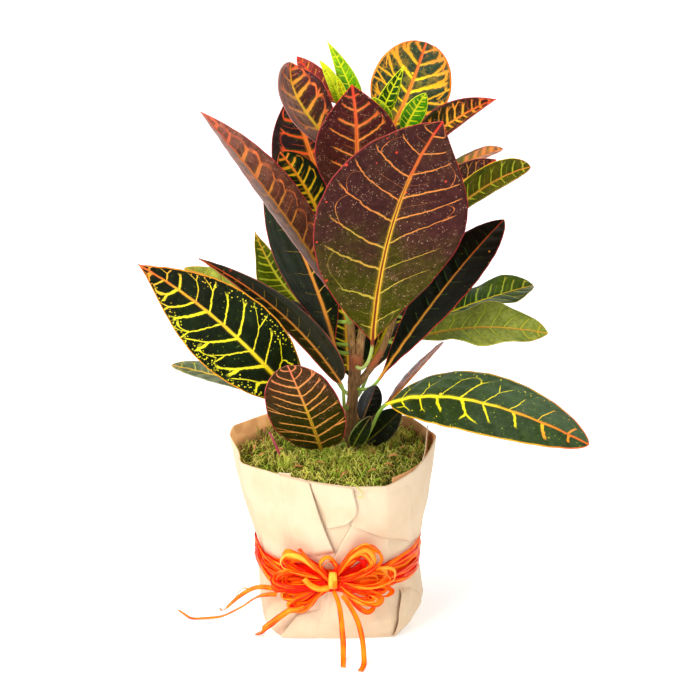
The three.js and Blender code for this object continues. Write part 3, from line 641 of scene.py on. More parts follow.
    # lines over the blade
    veinColour = mix(ease(side, 0.15, 0.85), given["Vein"], given["Vein End"])
    veinTurned = ease(turnAt, less(given["Vein Turn"], 0.2), plus(given["Vein Turn"], 0.2))
    veinColour = mix(veinTurned, veinColour, given["Vein Tip"])
    colour = mix(halo, colour, given["Halo Colour"])
    colour = mix(veins, colour, veinColour)
    ribWidth = times(inMm(given["Midrib Width"]), less(1.0, times(along, 0.66)))
    ribWidth = times(ribWidth, plus(0.75, times(noiseAt(here, 170.0, 2.0), 0.5)))
    ribColour = mix(ease(turnAt, 0.35, 1.0), given["Midrib"], given["Midrib Tip"])
    ribHalo = times(line(fromRib, ribWidth, 0.4), 0.3)
    colour = mix(ribHalo, colour, ribColour)
    rib = ease(fromRib, times(ribWidth, 0.42), times(ribWidth, 0.54), 1.0, 0.0)
    colour = mix(rib, colour, ribColour)
    coreFade = ease(along, times(given["Core End"], 0.55), given["Core End"], 1.0, 0.0)
    ribLine = times(line(fromRib, times(ribWidth, 0.24), 0.5), coreFade, given["Core Amount"])
    colour = mix(ribLine, colour, given["Core"])
    marginWidth = times(inMm(given["Margin Width"]), plus(0.5, ragged))
    rim = line(fromEdge, marginWidth, 0.45)
    marginColour = mix(ease(turnAt, 0.75, 1.0), given["Margin"], given["Midrib Tip"])
    colour = mix(rim, colour, marginColour)
    # a painted sheen: pale streaks on one half of the blade, the half chosen by the side value, standing for
    # light caught by the gloss
    sheen = noiseAt(p.vector(times(across, 7.0), times(along, 3.0), given["Seed"]), 1.0, 4.0, 0.6)
    filmed = times(ease(times(across, given["Painted Sheen Side"]), 0.0, 0.16), given["Painted Sheen Amount"])
    colour = mix(times(filmed, ease(sheen, 0.3, 0.7, 0.35, 1.3)), colour, given["Painted Sheen"])
    below = mix(times(most(veins, rib), 0.45), given["Under"], veinColour)
    colour = mix(times(under, 0.85), colour, below)
    onStalk = ease(along, -0.1, 0.0, 1.0, 0.0)
    colour = mix(onStalk, colour, given["Stalk"])

    p.feed(out["Colour"], colour)
    gloss = plus(times(veins, 0.1), times(mottle, 0.2))
    p.feed(out["Roughness"], plus(gloss, plus(0.2, times(under, 0.15))))
    grain = noiseAt(here, 1100.0, 2.0)
    quilt = ease(size(apart), 0.0, 0.42)
    height = plus(times(quilt, 0.75), plus(times(grain, 0.1), times(fineShade, 0.16)))
    p.feed(out["Height"], less(height, times(core, 0.15)))
    return p.tree


leafGroup = makeLeafGroup()

# Shoots: rows of x, y, z and radius, as the frame's own
shoots = {
    "trunk": [(12, 0, 92, 5.6), (12, 0, 128, 5.6), (12, 0, 152, 5.4), (11, 0, 172, 5), (13, 0, 200, 4.8),
              (15, 0, 226, 5.2), (16, 0, 236, 4)],
    "left": [(14, 1, 224, 3.6), (12, 4, 250, 3.6), (9, 10, 290, 3.4), (8, 16, 340, 3.2), (8, 20, 390, 2.8),
             (9, 20, 436, 2)],
    "right": [(17, 0, 224, 3.6), (20, 2, 250, 3.6), (27, 8, 290, 3.4), (36, 12, 340, 3.2),
              (44, 12, 390, 2.8), (46, 10, 424, 2)],
    "side": [(13, 0, 205, 3.2), (22, 1, 215, 3.1), (35, 8, 232, 2.8), (46, 16, 256, 2.6), (51, 20, 278, 1.8)],
}

# Leaves: the shoot and height each grows at, its midrib from base through middle to tip, and
# its shape: width, how it rounds at base and tip, fold in degrees and number of side veins.
# face is the way the upper side looks; angles are the veins', left and right, in degrees.
leaves = {
    "front_big": {
        "on": ("trunk", 226), "rib": [(29, -32, 256), (45, -62, 367), (82, -70, 447)],
        "shape": (125, 1.15, 1.05, 12, 9), "face": (0.2, -0.95, -0.25), "skew": -0.1, "angles": (68, 55),
        "gloss": 0.25,
        "look": look(maroonLook, blade=("#444402", "#462220", 0.36), patch="#503420",
            vein=("#ccb03c", "#a89c30", "#ee8440", 0.42), line=(0.85, 0.84, 0.7), fork=(0.06, 0.72),
            loops=(0.4, 0.7), minor=0.3, halo=(0.5, "#7c701c"), midrib=("#e8b42c", "#dc3c2a", 4.8),
            core=(0.95, "#7c2014", 0.85), speck=0.36, spot=0.09, stalk="#b4c468"),
    },
    "front_second": {
        "on": ("left", 350), "rib": [(12, -12, 360), (16, -22, 415), (12, -16, 466)],
        "shape": (70, 1.1, 1.1, 4, 8), "face": (0.2, -1, 0),
        "look": look(maroonLook, blade=("#4c241a", "#4c1c1c"), patch=(None, 0.1),
            vein=("#fa9040", "#ec7a2a"), line=(1.3, 0.72), fork=0.3, midrib=("#f8963a", "#ec4426", 4.8),
            core=(0.7, "#e8502c", 1.2), speck=0.45),
    },
    "front_low": {
        "on": ("trunk", 156), "rib": [(-14, -12, 156), (-26, -36, 201), (-40, -54, 244)],
        "shape": (64, 0.45, 0.45, 8, 10), "face": (-0.1, -0.9, -0.2), "angles": (54, 54),
        "wave": (1.5, 2, 0.1), "gloss": 0.3,
        "look": look(maroonLook, blade=("#2e2c04", "#4a2e18", 0.56), vein=("#f2a050", "#f0924c", "#ec7a50"),
            line=(0.8, 0.9, 0.4, 0.15), fork=(0.4, 0.7), loops=0.0, minor=0.0, halo=(None, "#8c7c20"),
            midrib=("#e4b030", "#f07858", 2.6), core=(0.5, "#5c5010", 0.6), margin="#c83844", speck=0.16),
    },
    "top_left": {
        "on": ("left", 396), "rib": [(8, 6, 402), (-29, 4, 446), (-37, 18, 478)],
        "shape": (50, 1, 0.85, 40, 6), "face": (0.35, -0.9, 0.2), "skew": 0.05,
        "look": look(maroonLook, blade="#4a281e", vein=("#f8a834", "#f06428"), line=2.0, loops=(0.9, 0.62),
            midrib=("#f8cc3c", "#f08a30", 3.4), under="#b08078", film=(0.5, "#b08c80", -1.0)),
    },
    "top_left_narrow": {
        "on": ("left", 428), "rib": [(2, 30, 442), (-16, 34, 460), (-33, 42, 479)],
        "shape": (20, 0.9, 0.85, 10, 6), "face": (0.35, -0.85, 0.45),
        "look": look(maroonLook, blade=("#8c2c30", "#a83a3c"), midrib="#ec5a34"),
    },
    "new_yellow": {
        "on": ("left", 430), "rib": [(15, 14, 440), (8, 16, 465), (-8, 20, 495)],
        "shape": (17, 0.5, 1, 12, 8), "face": (0.1, -1, 0.2),
        "look": youngLook,
    },
    "new_yellow_small": {
        "on": ("left", 424), "rib": [(4, 12, 440), (-3, 8, 463), (-14, 10, 481)],
        "shape": (11, 0.6, 0.9, 12, 6), "face": (0.4, -1, 0.1),
        "look": look(youngLook, blade=("#b4d00c", "#d8e018")),
    },
    "new_bud": {
        "on": ("left", 434), "rib": [(8, 9, 443), (5, 6, 456), (0, 5, 469)], "shape": (9, 0.6, 0.8, 40, 5),
        "face": (-0.2, -1, 0.1),
        "look": look(youngLook, blade=("#a0c010", "#c8bc1c")),
    },
    "back_left": {
        "on": ("left", 344), "rib": [(-9, 27, 362), (-24, 31, 406), (-39, 36, 448)],
        "shape": (65, 0.7, 0.9, 8, 6), "face": (0.1, -1, 0.15),
        "look": look(maroonLook, blade=("#2a1c18", "#2c1e20"), vein=("#f25a22", "#ec4824"), line=(1.7, 0.7),
            loops=(0.7, 0.6), midrib=("#f88a2c", "#ec4224", 4.6), speck=0.04),
    },
    "top_right": {
        "on": ("right", 416), "rib": [(45, 24, 423), (59, 38, 451), (74, 66, 487)],
        "shape": (66, 0.6, 0.5, 6, 7), "face": (0.1, -0.8, 0.55),
        "look": look(goldLook, blade=("#26382a", "#30402c"), patch=(None, 0.1), vein=("#fad40e", "#f6a818"),
            line=(1.3, 1.1, 0.05, 0.22), fork=(0.6, 0.45), loops=(1.1, 0.76), minor=0.1, net=(0.35, 0.15),
            halo=0.2, midrib=("#f0982a", None, 4.2), core=(0.5, "#e4602a", 1.2), margin=("#ee8a1c", 1.3),
            speck=(0.12, "#e8c020")),
    },
    "new_dark": {
        "on": ("right", 420), "rib": [(35, 4, 437), (43, 2, 456), (54, 4, 478)],
        "shape": (15, 0.5, 1, 15, 7), "face": (0, -1, 0),
        "look": look(youngLook, blade=("#2a5a06", "#2f5e08"), patch="#1a3c06"),
    },
    "new_green": {
        "on": ("right", 414), "rib": [(54, 0, 425), (61, -6, 441), (71, -10, 458)],
        "shape": (19, 0.75, 0.7, 16, 8), "face": (0, -1, -0.3),
        "look": look(youngLook, blade=("#3c8c06", "#50a00a"), midrib=(None, None, 2.4)),
    },
    "new_curled": {
        "on": ("right", 418), "rib": [(42, -2, 430), (37, -8, 443), (28, -8, 454)],
        "shape": (12, 0.6, 0.7, 35, 5), "face": (0.1, -1, 0.2),
        "look": look(youngLook, blade=("#8cc41c", "#b4d83c")),
    },
    "right_upper": {
        "on": ("right", 400), "rib": [(68, 10, 410), (96, 0, 435), (127, -10, 453)],
        "shape": (34, 0.5, 1, 28, 9), "face": (-0.6, -0.6, 0.5),
        "look": look(maroonLook, blade=("#281c08", "#441c10"), patch="#1c300c", vein=("#f4b028", "#ec8024"),
            line=1.2, loops=(0.6, 0.6), spot=(0.06, "#5cae20"), under="#b87468"),
    },
    "right_pink": {
        "on": ("right", 370), "rib": [(68, 42, 374), (112, 48, 391), (139, 54, 400)],
        "shape": (30, 1.2, 0.7, 10, 8), "face": (-0.3, -0.1, 0.95),
        "look": look(goldLook, blade=("#58661c", "#a85c3c"), vein=("#f09040", "#ea7850"), under="#c8947c"),
    },
    "right_brown": {
        "on": ("right", 342), "rib": [(62, 19, 352), (104, 18, 380), (131, 19, 398)],
        "shape": (36, 0.8, 1, 8, 8), "face": (-0.45, -0.5, 0.75),
        "look": look(maroonLook, blade=("#281410", "#381a14"), vein="#b0702c", line=0.6),
    },
    "right_olive": {
        "on": ("right", 314), "rib": [(64, 6, 324), (112, -4, 374), (156, -14, 399)],
        "shape": (32, 1, 0.6, 30, 10), "face": (-0.6, -0.6, 0.55), "skew": 0.08, "gloss": 0.12,
        "look": look(oliveLook, blade=("#424c12", "#565010"), midrib=("#d0a034", "#d08430"),
            margin="#e0c030", under="#503430"),
    },
    "right_dark": {
        "on": ("trunk", 206), "rib": [(36, -14, 220), (90, -6, 297), (139, 24, 346)],
        "shape": (47, 1.1, 0.8, 8, 12), "face": (-0.45, -0.65, 0.6), "gloss": 0.26,
        "look": look(darkLook, blade=("#0a1004", "#0c0e06"), patch="#0d1806",
            vein=("#34481c", "#1c3010", "#2c2c14"), line=(0.5, 0.45), loops=0.0, minor=0.0,
            halo=(0.1, "#2c3c10"), midrib=("#d08a2c", "#c8481c", 2.3), margin="#c02c1c", speck=0.02,
            spot=(0.02, "#e08a20"), under="#2c2c20", film=(0.05, "#605c54")),
    },
    "right_wavy": {
        "on": ("side", 264), "rib": [(76, 44, 249), (121, 59, 264), (170, 70, 276)],
        "shape": (62, 1.1, 0.55, 8, 9), "face": (-0.25, -0.1, 0.95), "wave": (3, 2, 0.2), "gloss": 0.1,
        "look": look(oliveLook, blade=("#223e00", "#405402"), patch="#143002", vein="#98b428",
            midrib="#dccc2c", margin="#94981c"),
    },
    "right_wavy_low": {
        "on": ("side", 244), "rib": [(64, 14, 244), (117, 10, 256), (177, 6, 252)],
        "shape": (52, 1.3, 0.85, 10, 9), "face": (-0.15, -0.4, 0.9), "wave": (3, 2.5, 0.4), "gloss": 0.12,
        "look": look(oliveLook, blade=("#848f34", "#8c943c"), patch="#687a26", vein="#b8c440",
            midrib=("#e0cc38", None, 2.6), core=(0.9, "#c04a3c", 1.2), margin="#d0c040"),
    },
    "right_low": {
        "on": ("trunk", 160), "rib": [(44, -24, 201), (112, -60, 215), (202, -90, 189)],
        "shape": (62, 0.65, 0.62, -6, 8), "face": (-0.2, -0.5, 0.85), "skew": -0.06,
        "look": look(darkLook, blade=("#24340f", "#38482a"), patch="#304618", vein=("#fae814", "#f0e418"),
            line=(1.15, 0.64, 0.2, 0.12, 0.3), fork=0.95, loops=0.08, minor=0.0, net=(None, None, 0.12),
            halo=0.1, midrib=("#fcea28", "#f07028", 3.6), core=0.0, margin=("#f0b41c", 1.0),
            speck=(0.12, "#c0d01c"), spot=0.05, film=(0.16, "#7c9470", -1.0)),
    },
    "edge_red": {
        "on": ("trunk", 184), "rib": [(42, 12, 188), (69, 30, 212), (92, 52, 230)],
        "shape": (30, 0.85, 0.8, 16, 7), "face": (-0.7, 0.15, 0.6),
        "look": look(maroonLook, margin="#e0403c", under="#94604c"),
    },
    "left_big": {
        "on": ("trunk", 178), "rib": [(-31, -16, 196), (-94, -36, 274), (-159, -50, 328)],
        "shape": (74, 0.85, 1.2, 4, 11), "face": (0.05, -0.95, -0.2), "angles": (56, 56),
        "look": look(darkLook, blade=("#141f08", "#1c2212"), vein=("#fce60a", "#f0e60a", "#f88a24"),
            line=(1.2, 0.93, 0.3, 0.14, -0.22), fork=1.2, loops=0.25, minor=0.0, net=(None, None, 0.9),
            halo=0.1, midrib=("#fcdc10", "#f86a2c", 3.4), margin=("#f8a014", 0.8), spot=0.03),
    },
    "left_under": {
        "on": ("trunk", 172), "rib": [(-32, 18, 185), (-88, 42, 197), (-146, 60, 206)],
        "shape": (31, 1, 0.65, 12, 9), "face": (0.15, -0.25, 0.95),
        "look": look(oliveLook, blade=("#4c5438", "#70785c"), vein="#98a070", margin="#b0b070",
            under="#8f9484"),
    },
    "left_mid": {
        "on": ("trunk", 188), "rib": [(2, -16, 217), (-48, -14, 277), (-114, -4, 320)],
        "shape": (35, 0.45, 1, 50, 12), "face": (0.3, -0.9, 0.3), "skew": 0.1,
        "look": look(maroonLook, blade=("#2c2804", "#1c1c12"), patch=("#1c240a", 0.6),
            vein=("#c8a030", "#8c6c28", "#c86c34"), line=(0.55, 0.6), fork=0.0, loops=0.0, minor=0.0,
            halo=0.2, midrib=("#eca03a", "#f0682c"), margin="#e8602c", speck=0.03, film=(0.85, "#34362c")),
    },
    "left_pale": {
        "on": ("left", 243), "rib": [(-28, 25, 250), (-74, 24, 281), (-129, 24, 304)],
        "shape": (24, 0.9, 0.7, 10, 9), "face": (0.1, -0.6, 0.8), "gloss": 0.15,
        "look": look(oliveLook, blade=("#8c9a38", "#a8b048"), margin="#c8b450"),
    },
    "left_small": {
        "on": ("left", 262), "rib": [(-35, 36, 274), (-53, 34, 298), (-69, 30, 334)],
        "shape": (38, 0.65, 1.2, 14, 9), "face": (-0.4, -0.85, -0.3), "wave": (2, 2, 0), "gloss": 0.12,
        "look": look(oliveLook, blade=("#4c5a06", "#545c08"), vein="#b4b41c", line=0.9, fork=0.1, loops=0.0,
            halo=0.3, midrib="#ccc838"),
    },
    "left_dark": {
        "on": ("left", 236), "rib": [(-2, 9, 239), (-26, 6, 314), (-61, 17, 384)],
        "shape": (48, 1.3, 1.05, 12, 8), "face": (0.2, -1, 0.1),
        "look": look(darkLook, blade=("#121a0c", "#14200e"), vein=("#e0a830", "#7c7c1c", "#c0a028"),
            line=(0.5, 0.6, None, None, 0.5), fork=0.0, loops=0.0, minor=0.0, halo=0.2,
            midrib=("#f4a03c", "#e86838"), margin="#d83830", speck=(0.06, "#a8c418"),
            spot=(0.06, "#b8d018"), film=(0.5, "#3c443c", -1.0)),
    },
    "left_long": {
        "on": ("left", 262), "rib": [(6, -14, 278), (-42, -50, 368), (-103, -80, 456)],
        "shape": (44, 1.1, 1, 26, 12), "face": (0.8, -0.55, 0.25), "skew": 0.08,
        "look": look(maroonLook, blade=("#74402e", "#985c4c", 0.75), vein=("#fa9c40", "#f47638", "#f06c50"),
            line=(2.1, 0.62), fork=0.4, loops=(1.1, 0.56), halo=0.4, midrib=("#fab448", "#f0684c", 3.2),
            core=0.0, margin="#e03c44", speck=0.6, under="#b48880", film=(0.85, "#ac9890", -1.0)),
    },
    "left_inner": {
        "on": ("left", 328), "rib": [(-9, 4, 339), (-24, -2, 376), (-46, -4, 409)],
        "shape": (34, 1.1, 0.7, 8, 9), "face": (0.35, -0.95, 0.1),
        "look": look(darkLook, blade="#122008", vein=("#f8c814", "#f0b41c", "#f07a20"), line=(1.35, 0.75),
            fork=0.3, loops=0.1, midrib=("#f8c01c", "#f06a28", 3.4), core=0.0, margin="#b8502c"),
    },
    "behind_trunk": {
        "on": ("trunk", 204), "rib": [(11, 22, 213), (8, 40, 245), (2, 62, 300)],
        "shape": (56, 0.8, 0.7, 8, 7), "face": (0.1, -1, 0.2),
        "look": look(darkLook, line=(1.2, 0.6), midrib=("#f8b810", None, 6.0)),
    },
    "trunk_side": {
        "on": ("trunk", 168), "rib": [(21, -13, 181), (27, -16, 199), (33, -14, 213)],
        "shape": (20, 0.7, 0.7, 12, 6), "face": (0.2, -1, 0.1),
        "look": look(darkLook, blade=("#0c0e08", "#0e0e0a"), vein=("#24241c", "#181814", "#201c18"),
            loops=0.0, halo=0.0, midrib=("#6c4438", "#5c342c", 1.2), margin="#3c2824",
            film=(0.4, "#5c5c60", -1.0)),
    },
    "moss_side_dark": {
        "on": ("trunk", 154), "rib": [(24, 4, 155), (39, -2, 171), (54, -4, 188)],
        "shape": (26, 0.7, 0.7, 20, 6), "face": (-0.5, -1, 0.3),
        "look": look(darkLook, blade=("#090d05", "#0c0f06"), vein=("#1c2410", "#141a0c", "#1c1a0c"),
            line=0.5, loops=0.0, halo=0.0, midrib=("#5c6c20", "#6c4c20", 1.2), margin="#5c4428"),
    },
    "moss_side_green": {
        "on": ("trunk", 153), "rib": [(13, -13, 158), (19, -24, 174), (28, -26, 190)],
        "shape": (16, 0.7, 0.7, 20, 6), "face": (0.1, -1, 0.1),
        "look": look(darkLook, blade=("#0a0f06", "#0d1106"), vein=("#1c2410", "#141a0c", "#1c1a0c"),
            line=0.5, loops=0.0, halo=0.0, midrib=("#7c8c2c", "#7c5c2c", 1.2), margin="#7c9038"),
    },
    "back_low_right": {
        "on": ("trunk", 194), "rib": [(27, 26, 212), (54, 72, 260), (78, 128, 286)],
        "shape": (58, 0.8, 0.8, 10, 8), "face": (-0.3, -0.6, 0.8),
        "look": look(darkLook, line=1.5, midrib=(None, None, 3.6)),
    },
    "back_low_left": {
        "on": ("trunk", 198), "rib": [(-4, 26, 212), (-26, 70, 254), (-46, 122, 280)],
        "shape": (54, 0.8, 0.8, 10, 8), "face": (0.3, -0.6, 0.8),
        "look": look(darkLook, vein="#e0a02c", line=1.2, midrib="#e6a634"),
    },
    "back_low": {
        "on": ("trunk", 186), "rib": [(12, 34, 203), (12, 88, 236), (10, 146, 256)],
        "shape": (56, 0.8, 0.8, 10, 9), "face": (0, -0.6, 0.8),
        "look": look(darkLook, line=1.6, fork=0.9, net=(0.5, None, 0.3)),
    },
    "back_middle": {
        "on": ("left", 276), "rib": [(2, 36, 292), (-10, 84, 334), (-24, 136, 356)],
        "shape": (58, 0.8, 0.8, 10, 9), "face": (0.1, -0.6, 0.8),
        "look": look(darkLook, vein="#e0892c", line=1.3, midrib="#e08a34"),
    },
    "back_middle_right": {
        "on": ("right", 284), "rib": [(42, 32, 298), (64, 76, 334), (86, 124, 352)],
        "shape": (58, 0.8, 0.8, 10, 8), "face": (-0.2, -0.6, 0.8),
        "look": look(maroonLook, line=1.3, midrib=(None, None, 3.8)),
    },
    "back_upper_left": {
        "on": ("left", 312), "rib": [(-6, 36, 326), (-30, 70, 362), (-52, 106, 380)],
        "shape": (50, 0.8, 0.8, 10, 8), "face": (0.2, -0.6, 0.8),
        "look": look(maroonLook, vein="#e8702c", line=1.5),
    },
    "back_centre": {
        "on": ("right", 330), "rib": [(30, 36, 344), (26, 84, 384), (20, 132, 404)],
        "shape": (56, 0.8, 0.8, 10, 8), "face": (0, -0.6, 0.8),
        "look": look(darkLook, line=1.4, midrib=(None, None, 3.8)),
    },
    "back_high": {
        "on": ("left", 366), "rib": [(-2, 42, 378), (-14, 74, 406), (-28, 106, 420)],
        "shape": (50, 0.8, 0.8, 10, 7), "face": (0.1, -0.6, 0.8),
        "look": look(maroonLook, line=1.5, midrib=(None, None, 3.8)),
    },
    "back_high_right": {
        "on": ("right", 384), "rib": [(50, 38, 396), (60, 72, 420), (70, 104, 430)],
        "shape": (48, 0.8, 0.8, 10, 7), "face": (-0.1, -0.6, 0.8),
        "look": look(maroonLook, vein="#f0a034", line=1.8),
    },
}
blade = {
    "thickness": 0.62, "stalkRadius": 1.45, "tipHalf": 0.35, "quilt": 0.085, "groove": 0.35,
    "grooveWidth": 1.4, "ridge": 0.93, "angles": (62, 62), "gloss": 0.42,
}


def shootRow(name):
    return points([row[:3] for row in shoots[name]])


def shootRadius(name, t):
    radii = [row[3] * mm for row in shoots[name]]
    at = min(max(t, 0.0), 1.0) * (len(radii) - 1)
    i = min(int(at), len(radii) - 2)
    return blendValue(radii[i], radii[i + 1], at - i)


def leafMaterial(name, leaf, number):
    m = Material("leaf_" + name)
    made = m.group(leafGroup, {**painted(leaf["look"]), "Seed": number * 0.37})
    m.give("Base Color", made["Colour"])
    m.give("Roughness", made["Roughness"])
    m.give("Specular IOR Level", leaf.get("gloss", blade["gloss"]))
    m.bump(made["Height"], 0.5, 0.0005)
    return m.material


def veinLines(count, angle, length, width, halfAt, draw):
    # where each side vein starts on the midrib, how far it slopes to the tip, and its bend
    slope = 0.95 * width / 2 / length / math.tan(math.radians(angle))
    lines = []
    for i in range(-2, count + 3):
        start = (i + 0.6) / count * 0.96 + draw.uniform(-0.12, 0.12) / count
        near = min(max(halfAt(start + 0.05) / (width / 2), 0.12), 1.0)
        lines.append((start, slope * near * draw.uniform(0.85, 1.15), near * draw.uniform(0.0, 0.045)))
    return lines


def veinPhase(u, s, lines):
    # how far u lies between the veins' lines at s, counted in veins, and their spacing
    marks = [start + slope * s + bend * s ** 2.2 for start, slope, bend in lines]
    for i in range(1, len(marks)):
        if u < marks[i] or i == len(marks) - 1:
            gap = marks[i] - marks[i - 1]
            return i + (u - marks[i - 1]) / gap, gap


def stalkPath(shoot, height, base, ahead):
    # from the shoot at this height to the blade's base, where it runs ahead; and its reach
    row = shootRow(shoot)
    at = next((k / 200 for k in range(201) if throughPoints(row, k / 200).z >= height * mm), 1.0)
    centre = throughPoints(row, at)
    grow = (throughPoints(row, min(at + 0.01, 1)) - throughPoints(row, max(at - 0.01, 0))).normalized()
    out = base - centre
    out = (out - grow * out.dot(grow)).normalized()
    root = centre + out * (shootRadius(shoot, at) - 1.2 * mm)
    reach = (base - root).length
    lead = root + out * reach * 0.4
    meet = base - ahead * reach * 0.4
    steps = max(8, round(reach / 0.002))
    path = []
    for k in range(steps + 1):
        t = k / steps
        near = root * (1 - t) ** 3 + lead * 3 * t * (1 - t) ** 2
        path.append(near + meet * 3 * t * t * (1 - t) + base * t ** 3)
    return path, reach


def growStalk(bm, leaf, onRib, ribWay):
    # from the shoot to the blade, then on as a ridge under the midrib; marks say where each
    # point lies: -1 to 0 on the stalk, above 0 on the blade
    bladePlace = bm.verts.layers.float_vector["bladePlace"]
    veinPlace = bm.loops.layers.float_vector["veinPlace"]
    face = Vector(leaf["face"])
    path, reach = stalkPath(*leaf["on"], onRib(0), ribWay(0))
    steps = len(path) - 1
    ridge = 26
    marks = [k / steps - 1 for k in range(steps + 1)]
    for k in range(1, ridge + 1):
        u = k / ridge * blade["ridge"]
        way = ribWay(u)
        normal = way.cross(face).normalized().cross(way)
        sink = smoothStep(u, 0.0, 0.08) * 0.75 * (1 - 0.55 * u)
        path.append(onRib(u) - normal * sink * mm)
        marks.append(u)
    last = len(path) - 1

    def thick(t, angle):
        at = marks[min(round(t * last), last)]
        if at > 0:
            return blendValue(blade["stalkRadius"], 0.3, min(at * 1.05, 1)) * mm * 0.9
        flare = 0.5 * math.exp(-(at + 1) * reach / 0.003)
        return (blade["stalkRadius"] + flare) * mm

    def mark(vert, t):
        vert[bladePlace] = (0.0, marks[min(round(t * last), last)], 0.01)

    before = set(bm.faces)
    sweep(bm, path, thick, 10, tuple(ribWay(0).cross(face)), mark)
    for f in set(bm.faces) - before:
        for loop in f.loops:
            loop[veinPlace] = (0.0, 0.01, 0.0)


def makeLeaf(name, leaf, number):
    draw = random.Random(number * 7 + 3)
    base, middle, tip = points(leaf["rib"])
    control = middle * 2 - base * 0.5 - tip * 0.5
    face = Vector(leaf["face"])
    width, atBase, atTip, fold, veins = leaf["shape"]
    width *= mm
    fold = math.radians(fold)
    widest = atBase / (atBase + atTip)
    skew = leaf.get("skew", 0.0)
    waveHeight, waves, wavePhase = leaf.get("wave", (0.0, 1, 0))
    angles = leaf.get("angles", blade["angles"])
    length = (middle - base).length + (tip - middle).length

    def onRib(u):
        return base * (1 - u) ** 2 + control * 2 * u * (1 - u) + tip * u * u

    def ribWay(u):
        return ((control - base) * (1 - u) + (tip - control) * u).normalized()

    def halfWidth(u):
        u = min(max(u, 0.0), 1.0)
        half = width / 2 * (u / widest) ** atBase * ((1 - u) / (1 - widest)) ** atTip
        return max(half, (blade["stalkRadius"] if u < 0.5 else blade["tipHalf"]) * mm)

    lines = {way: veinLines(veins, angles[way > 0], length, width, halfWidth, draw) for way in (-1, 1)}
    bm = bmesh.new()
    bladePlace = bm.verts.layers.float_vector.new("bladePlace")
    veinPlace = bm.loops.layers.float_vector.new("veinPlace")
    columns = 2 * round(min(max(width / 0.0042, 7), 15))
    rows = round(min(max(length / 0.0028, 24), 76))
    for vert in bmesh.ops.create_grid(bm, x_segments=columns, y_segments=rows, size=1.0)["verts"]:
        v = math.copysign(abs(vert.co.x) ** 1.25, vert.co.x)
        t = (vert.co.y + 1) / 2
        u = blendValue(t, 0.5 - 0.5 * math.cos(math.pi * t), 0.6)
        along = ribWay(u)
        side = along.cross(face).normalized()
        normal = side.cross(along)
        half = halfWidth(u)
        s = abs(v)
        way = 1 if v > 0 else -1
        ripple = 1 + 0.018 * noise.noise(Vector((u * length * 90, way * 3.1, number * 1.7))) * s
        wave = waveHeight * mm * s ** 1.5 * math.sqrt(math.sin(math.pi * u) + 1e-9)
        wave *= math.sin(fullTurn * (waves * u + wavePhase) + (0 if v > 0 else 2.1))
        crease = math.sqrt(s * s + 0.004) - math.sqrt(0.004)
        phase, gap = veinPhase(u, s, lines[way])
        between = 0.5 - 0.5 * math.cos(fullTurn * phase)
        calm = math.sqrt(max(s * (1.02 - s), 0)) * 2 * smoothStep(u, 0.02, 0.12) * smoothStep(u, 1.0, 0.9)
        quilt = blade["quilt"] * gap * length * between * calm
        fromRib = s * half / mm
        groove = blade["groove"] * mm * math.exp(-(fromRib / blade["grooveWidth"]) ** 2)
        groove *= smoothStep(half / mm, 1.5, 6)
        drift = 0.35 * mm * noise.noise(Vector((u * 7, v * 2.2, number))) * s
        lift = crease * half * math.sin(fold) + wave + quilt - groove + drift * min(half / 0.01, 1)
        vert.co = onRib(u) + side * v * half * ripple * (1 + way * skew) * math.cos(fold)
        vert.co += normal * (lift + blade["thickness"] / 2 * mm)
        vert[bladePlace] = (v, u, half)
    bmesh.ops.recalc_face_normals(bm, faces=bm.faces[:])
    bm.faces.ensure_lookup_table()
    if bm.faces[0].normal.dot(face) < 0:
        bmesh.ops.reverse_faces(bm, faces=bm.faces[:])
    upper = set(bm.faces)
    bmesh.ops.solidify(bm, geom=bm.faces[:], thickness=blade["thickness"] * mm)
    for f in bm.faces:
        over = 0.0 if f in upper else 1.0
        way = 1 if sum(v[bladePlace].x for v in f.verts) > 0 else -1
        for loop in f.loops:
            across, u, half = loop.vert[bladePlace]
            phase, gap = veinPhase(u, abs(across), lines[way])
            loop[veinPlace] = (phase + way * 40, gap * length, over)
    growStalk(bm, leaf, onRib, ribWay)
    node = "leaf_" + name
    finishPiece("foliage_" + name, bm, leafMaterial(name, leaf, number), node)


for number, (name, leaf) in enumerate(leaves.items()):
    makeLeaf(name, leaf, number)
print("leaves grown:", len(leaves))

# Stem: fibrous bark with leaf scars
stem = {
    "bark": "#8a6034", "ridge": "#b48a58", "deep": "#4a2e14", "fresh": "#8a8438", "knee": "#a84a28",
    "scars": (0.42, 0.6, 0.74, 0.88), "knot": 0.93, "fork": 229,
}


def makeBarkMaterial():
    m = Material("bark")
    where = m.objectPlace()
    stretched = m.node("Mapping", {"Vector": where, "Scale": (1.0, 1.0, 0.12)}).outputs[0]
    fibre = m.noise(stretched, 900.0, 5.0, 0.65)
    broad = m.noise(where, 120.0, 3.0)
    colour = m.mix(m.ease(fibre, 0.35, 0.65), paint(stem["deep"]), paint(stem["ridge"]))
    colour = m.mix(m.ease(broad, 0.35, 0.65, 0.2, 0.7), colour, paint(stem["bark"]))
    height = m.parts(where)[2]
    colour = m.mix(m.ease(height, 0.23, 0.34, 0.0, 0.75), colour, paint(stem["fresh"]))
    knee = m.size(m.less(height, stem["fork"] * mm))
    colour = m.mix(m.ease(knee, 0.003, 0.009, 0.6, 0.0), colour, paint(stem["knee"]))
    m.give("Base Color", colour)
    m.give("Roughness", 0.82)
    m.bump(fibre, 0.8, 0.0006)
    return m.material


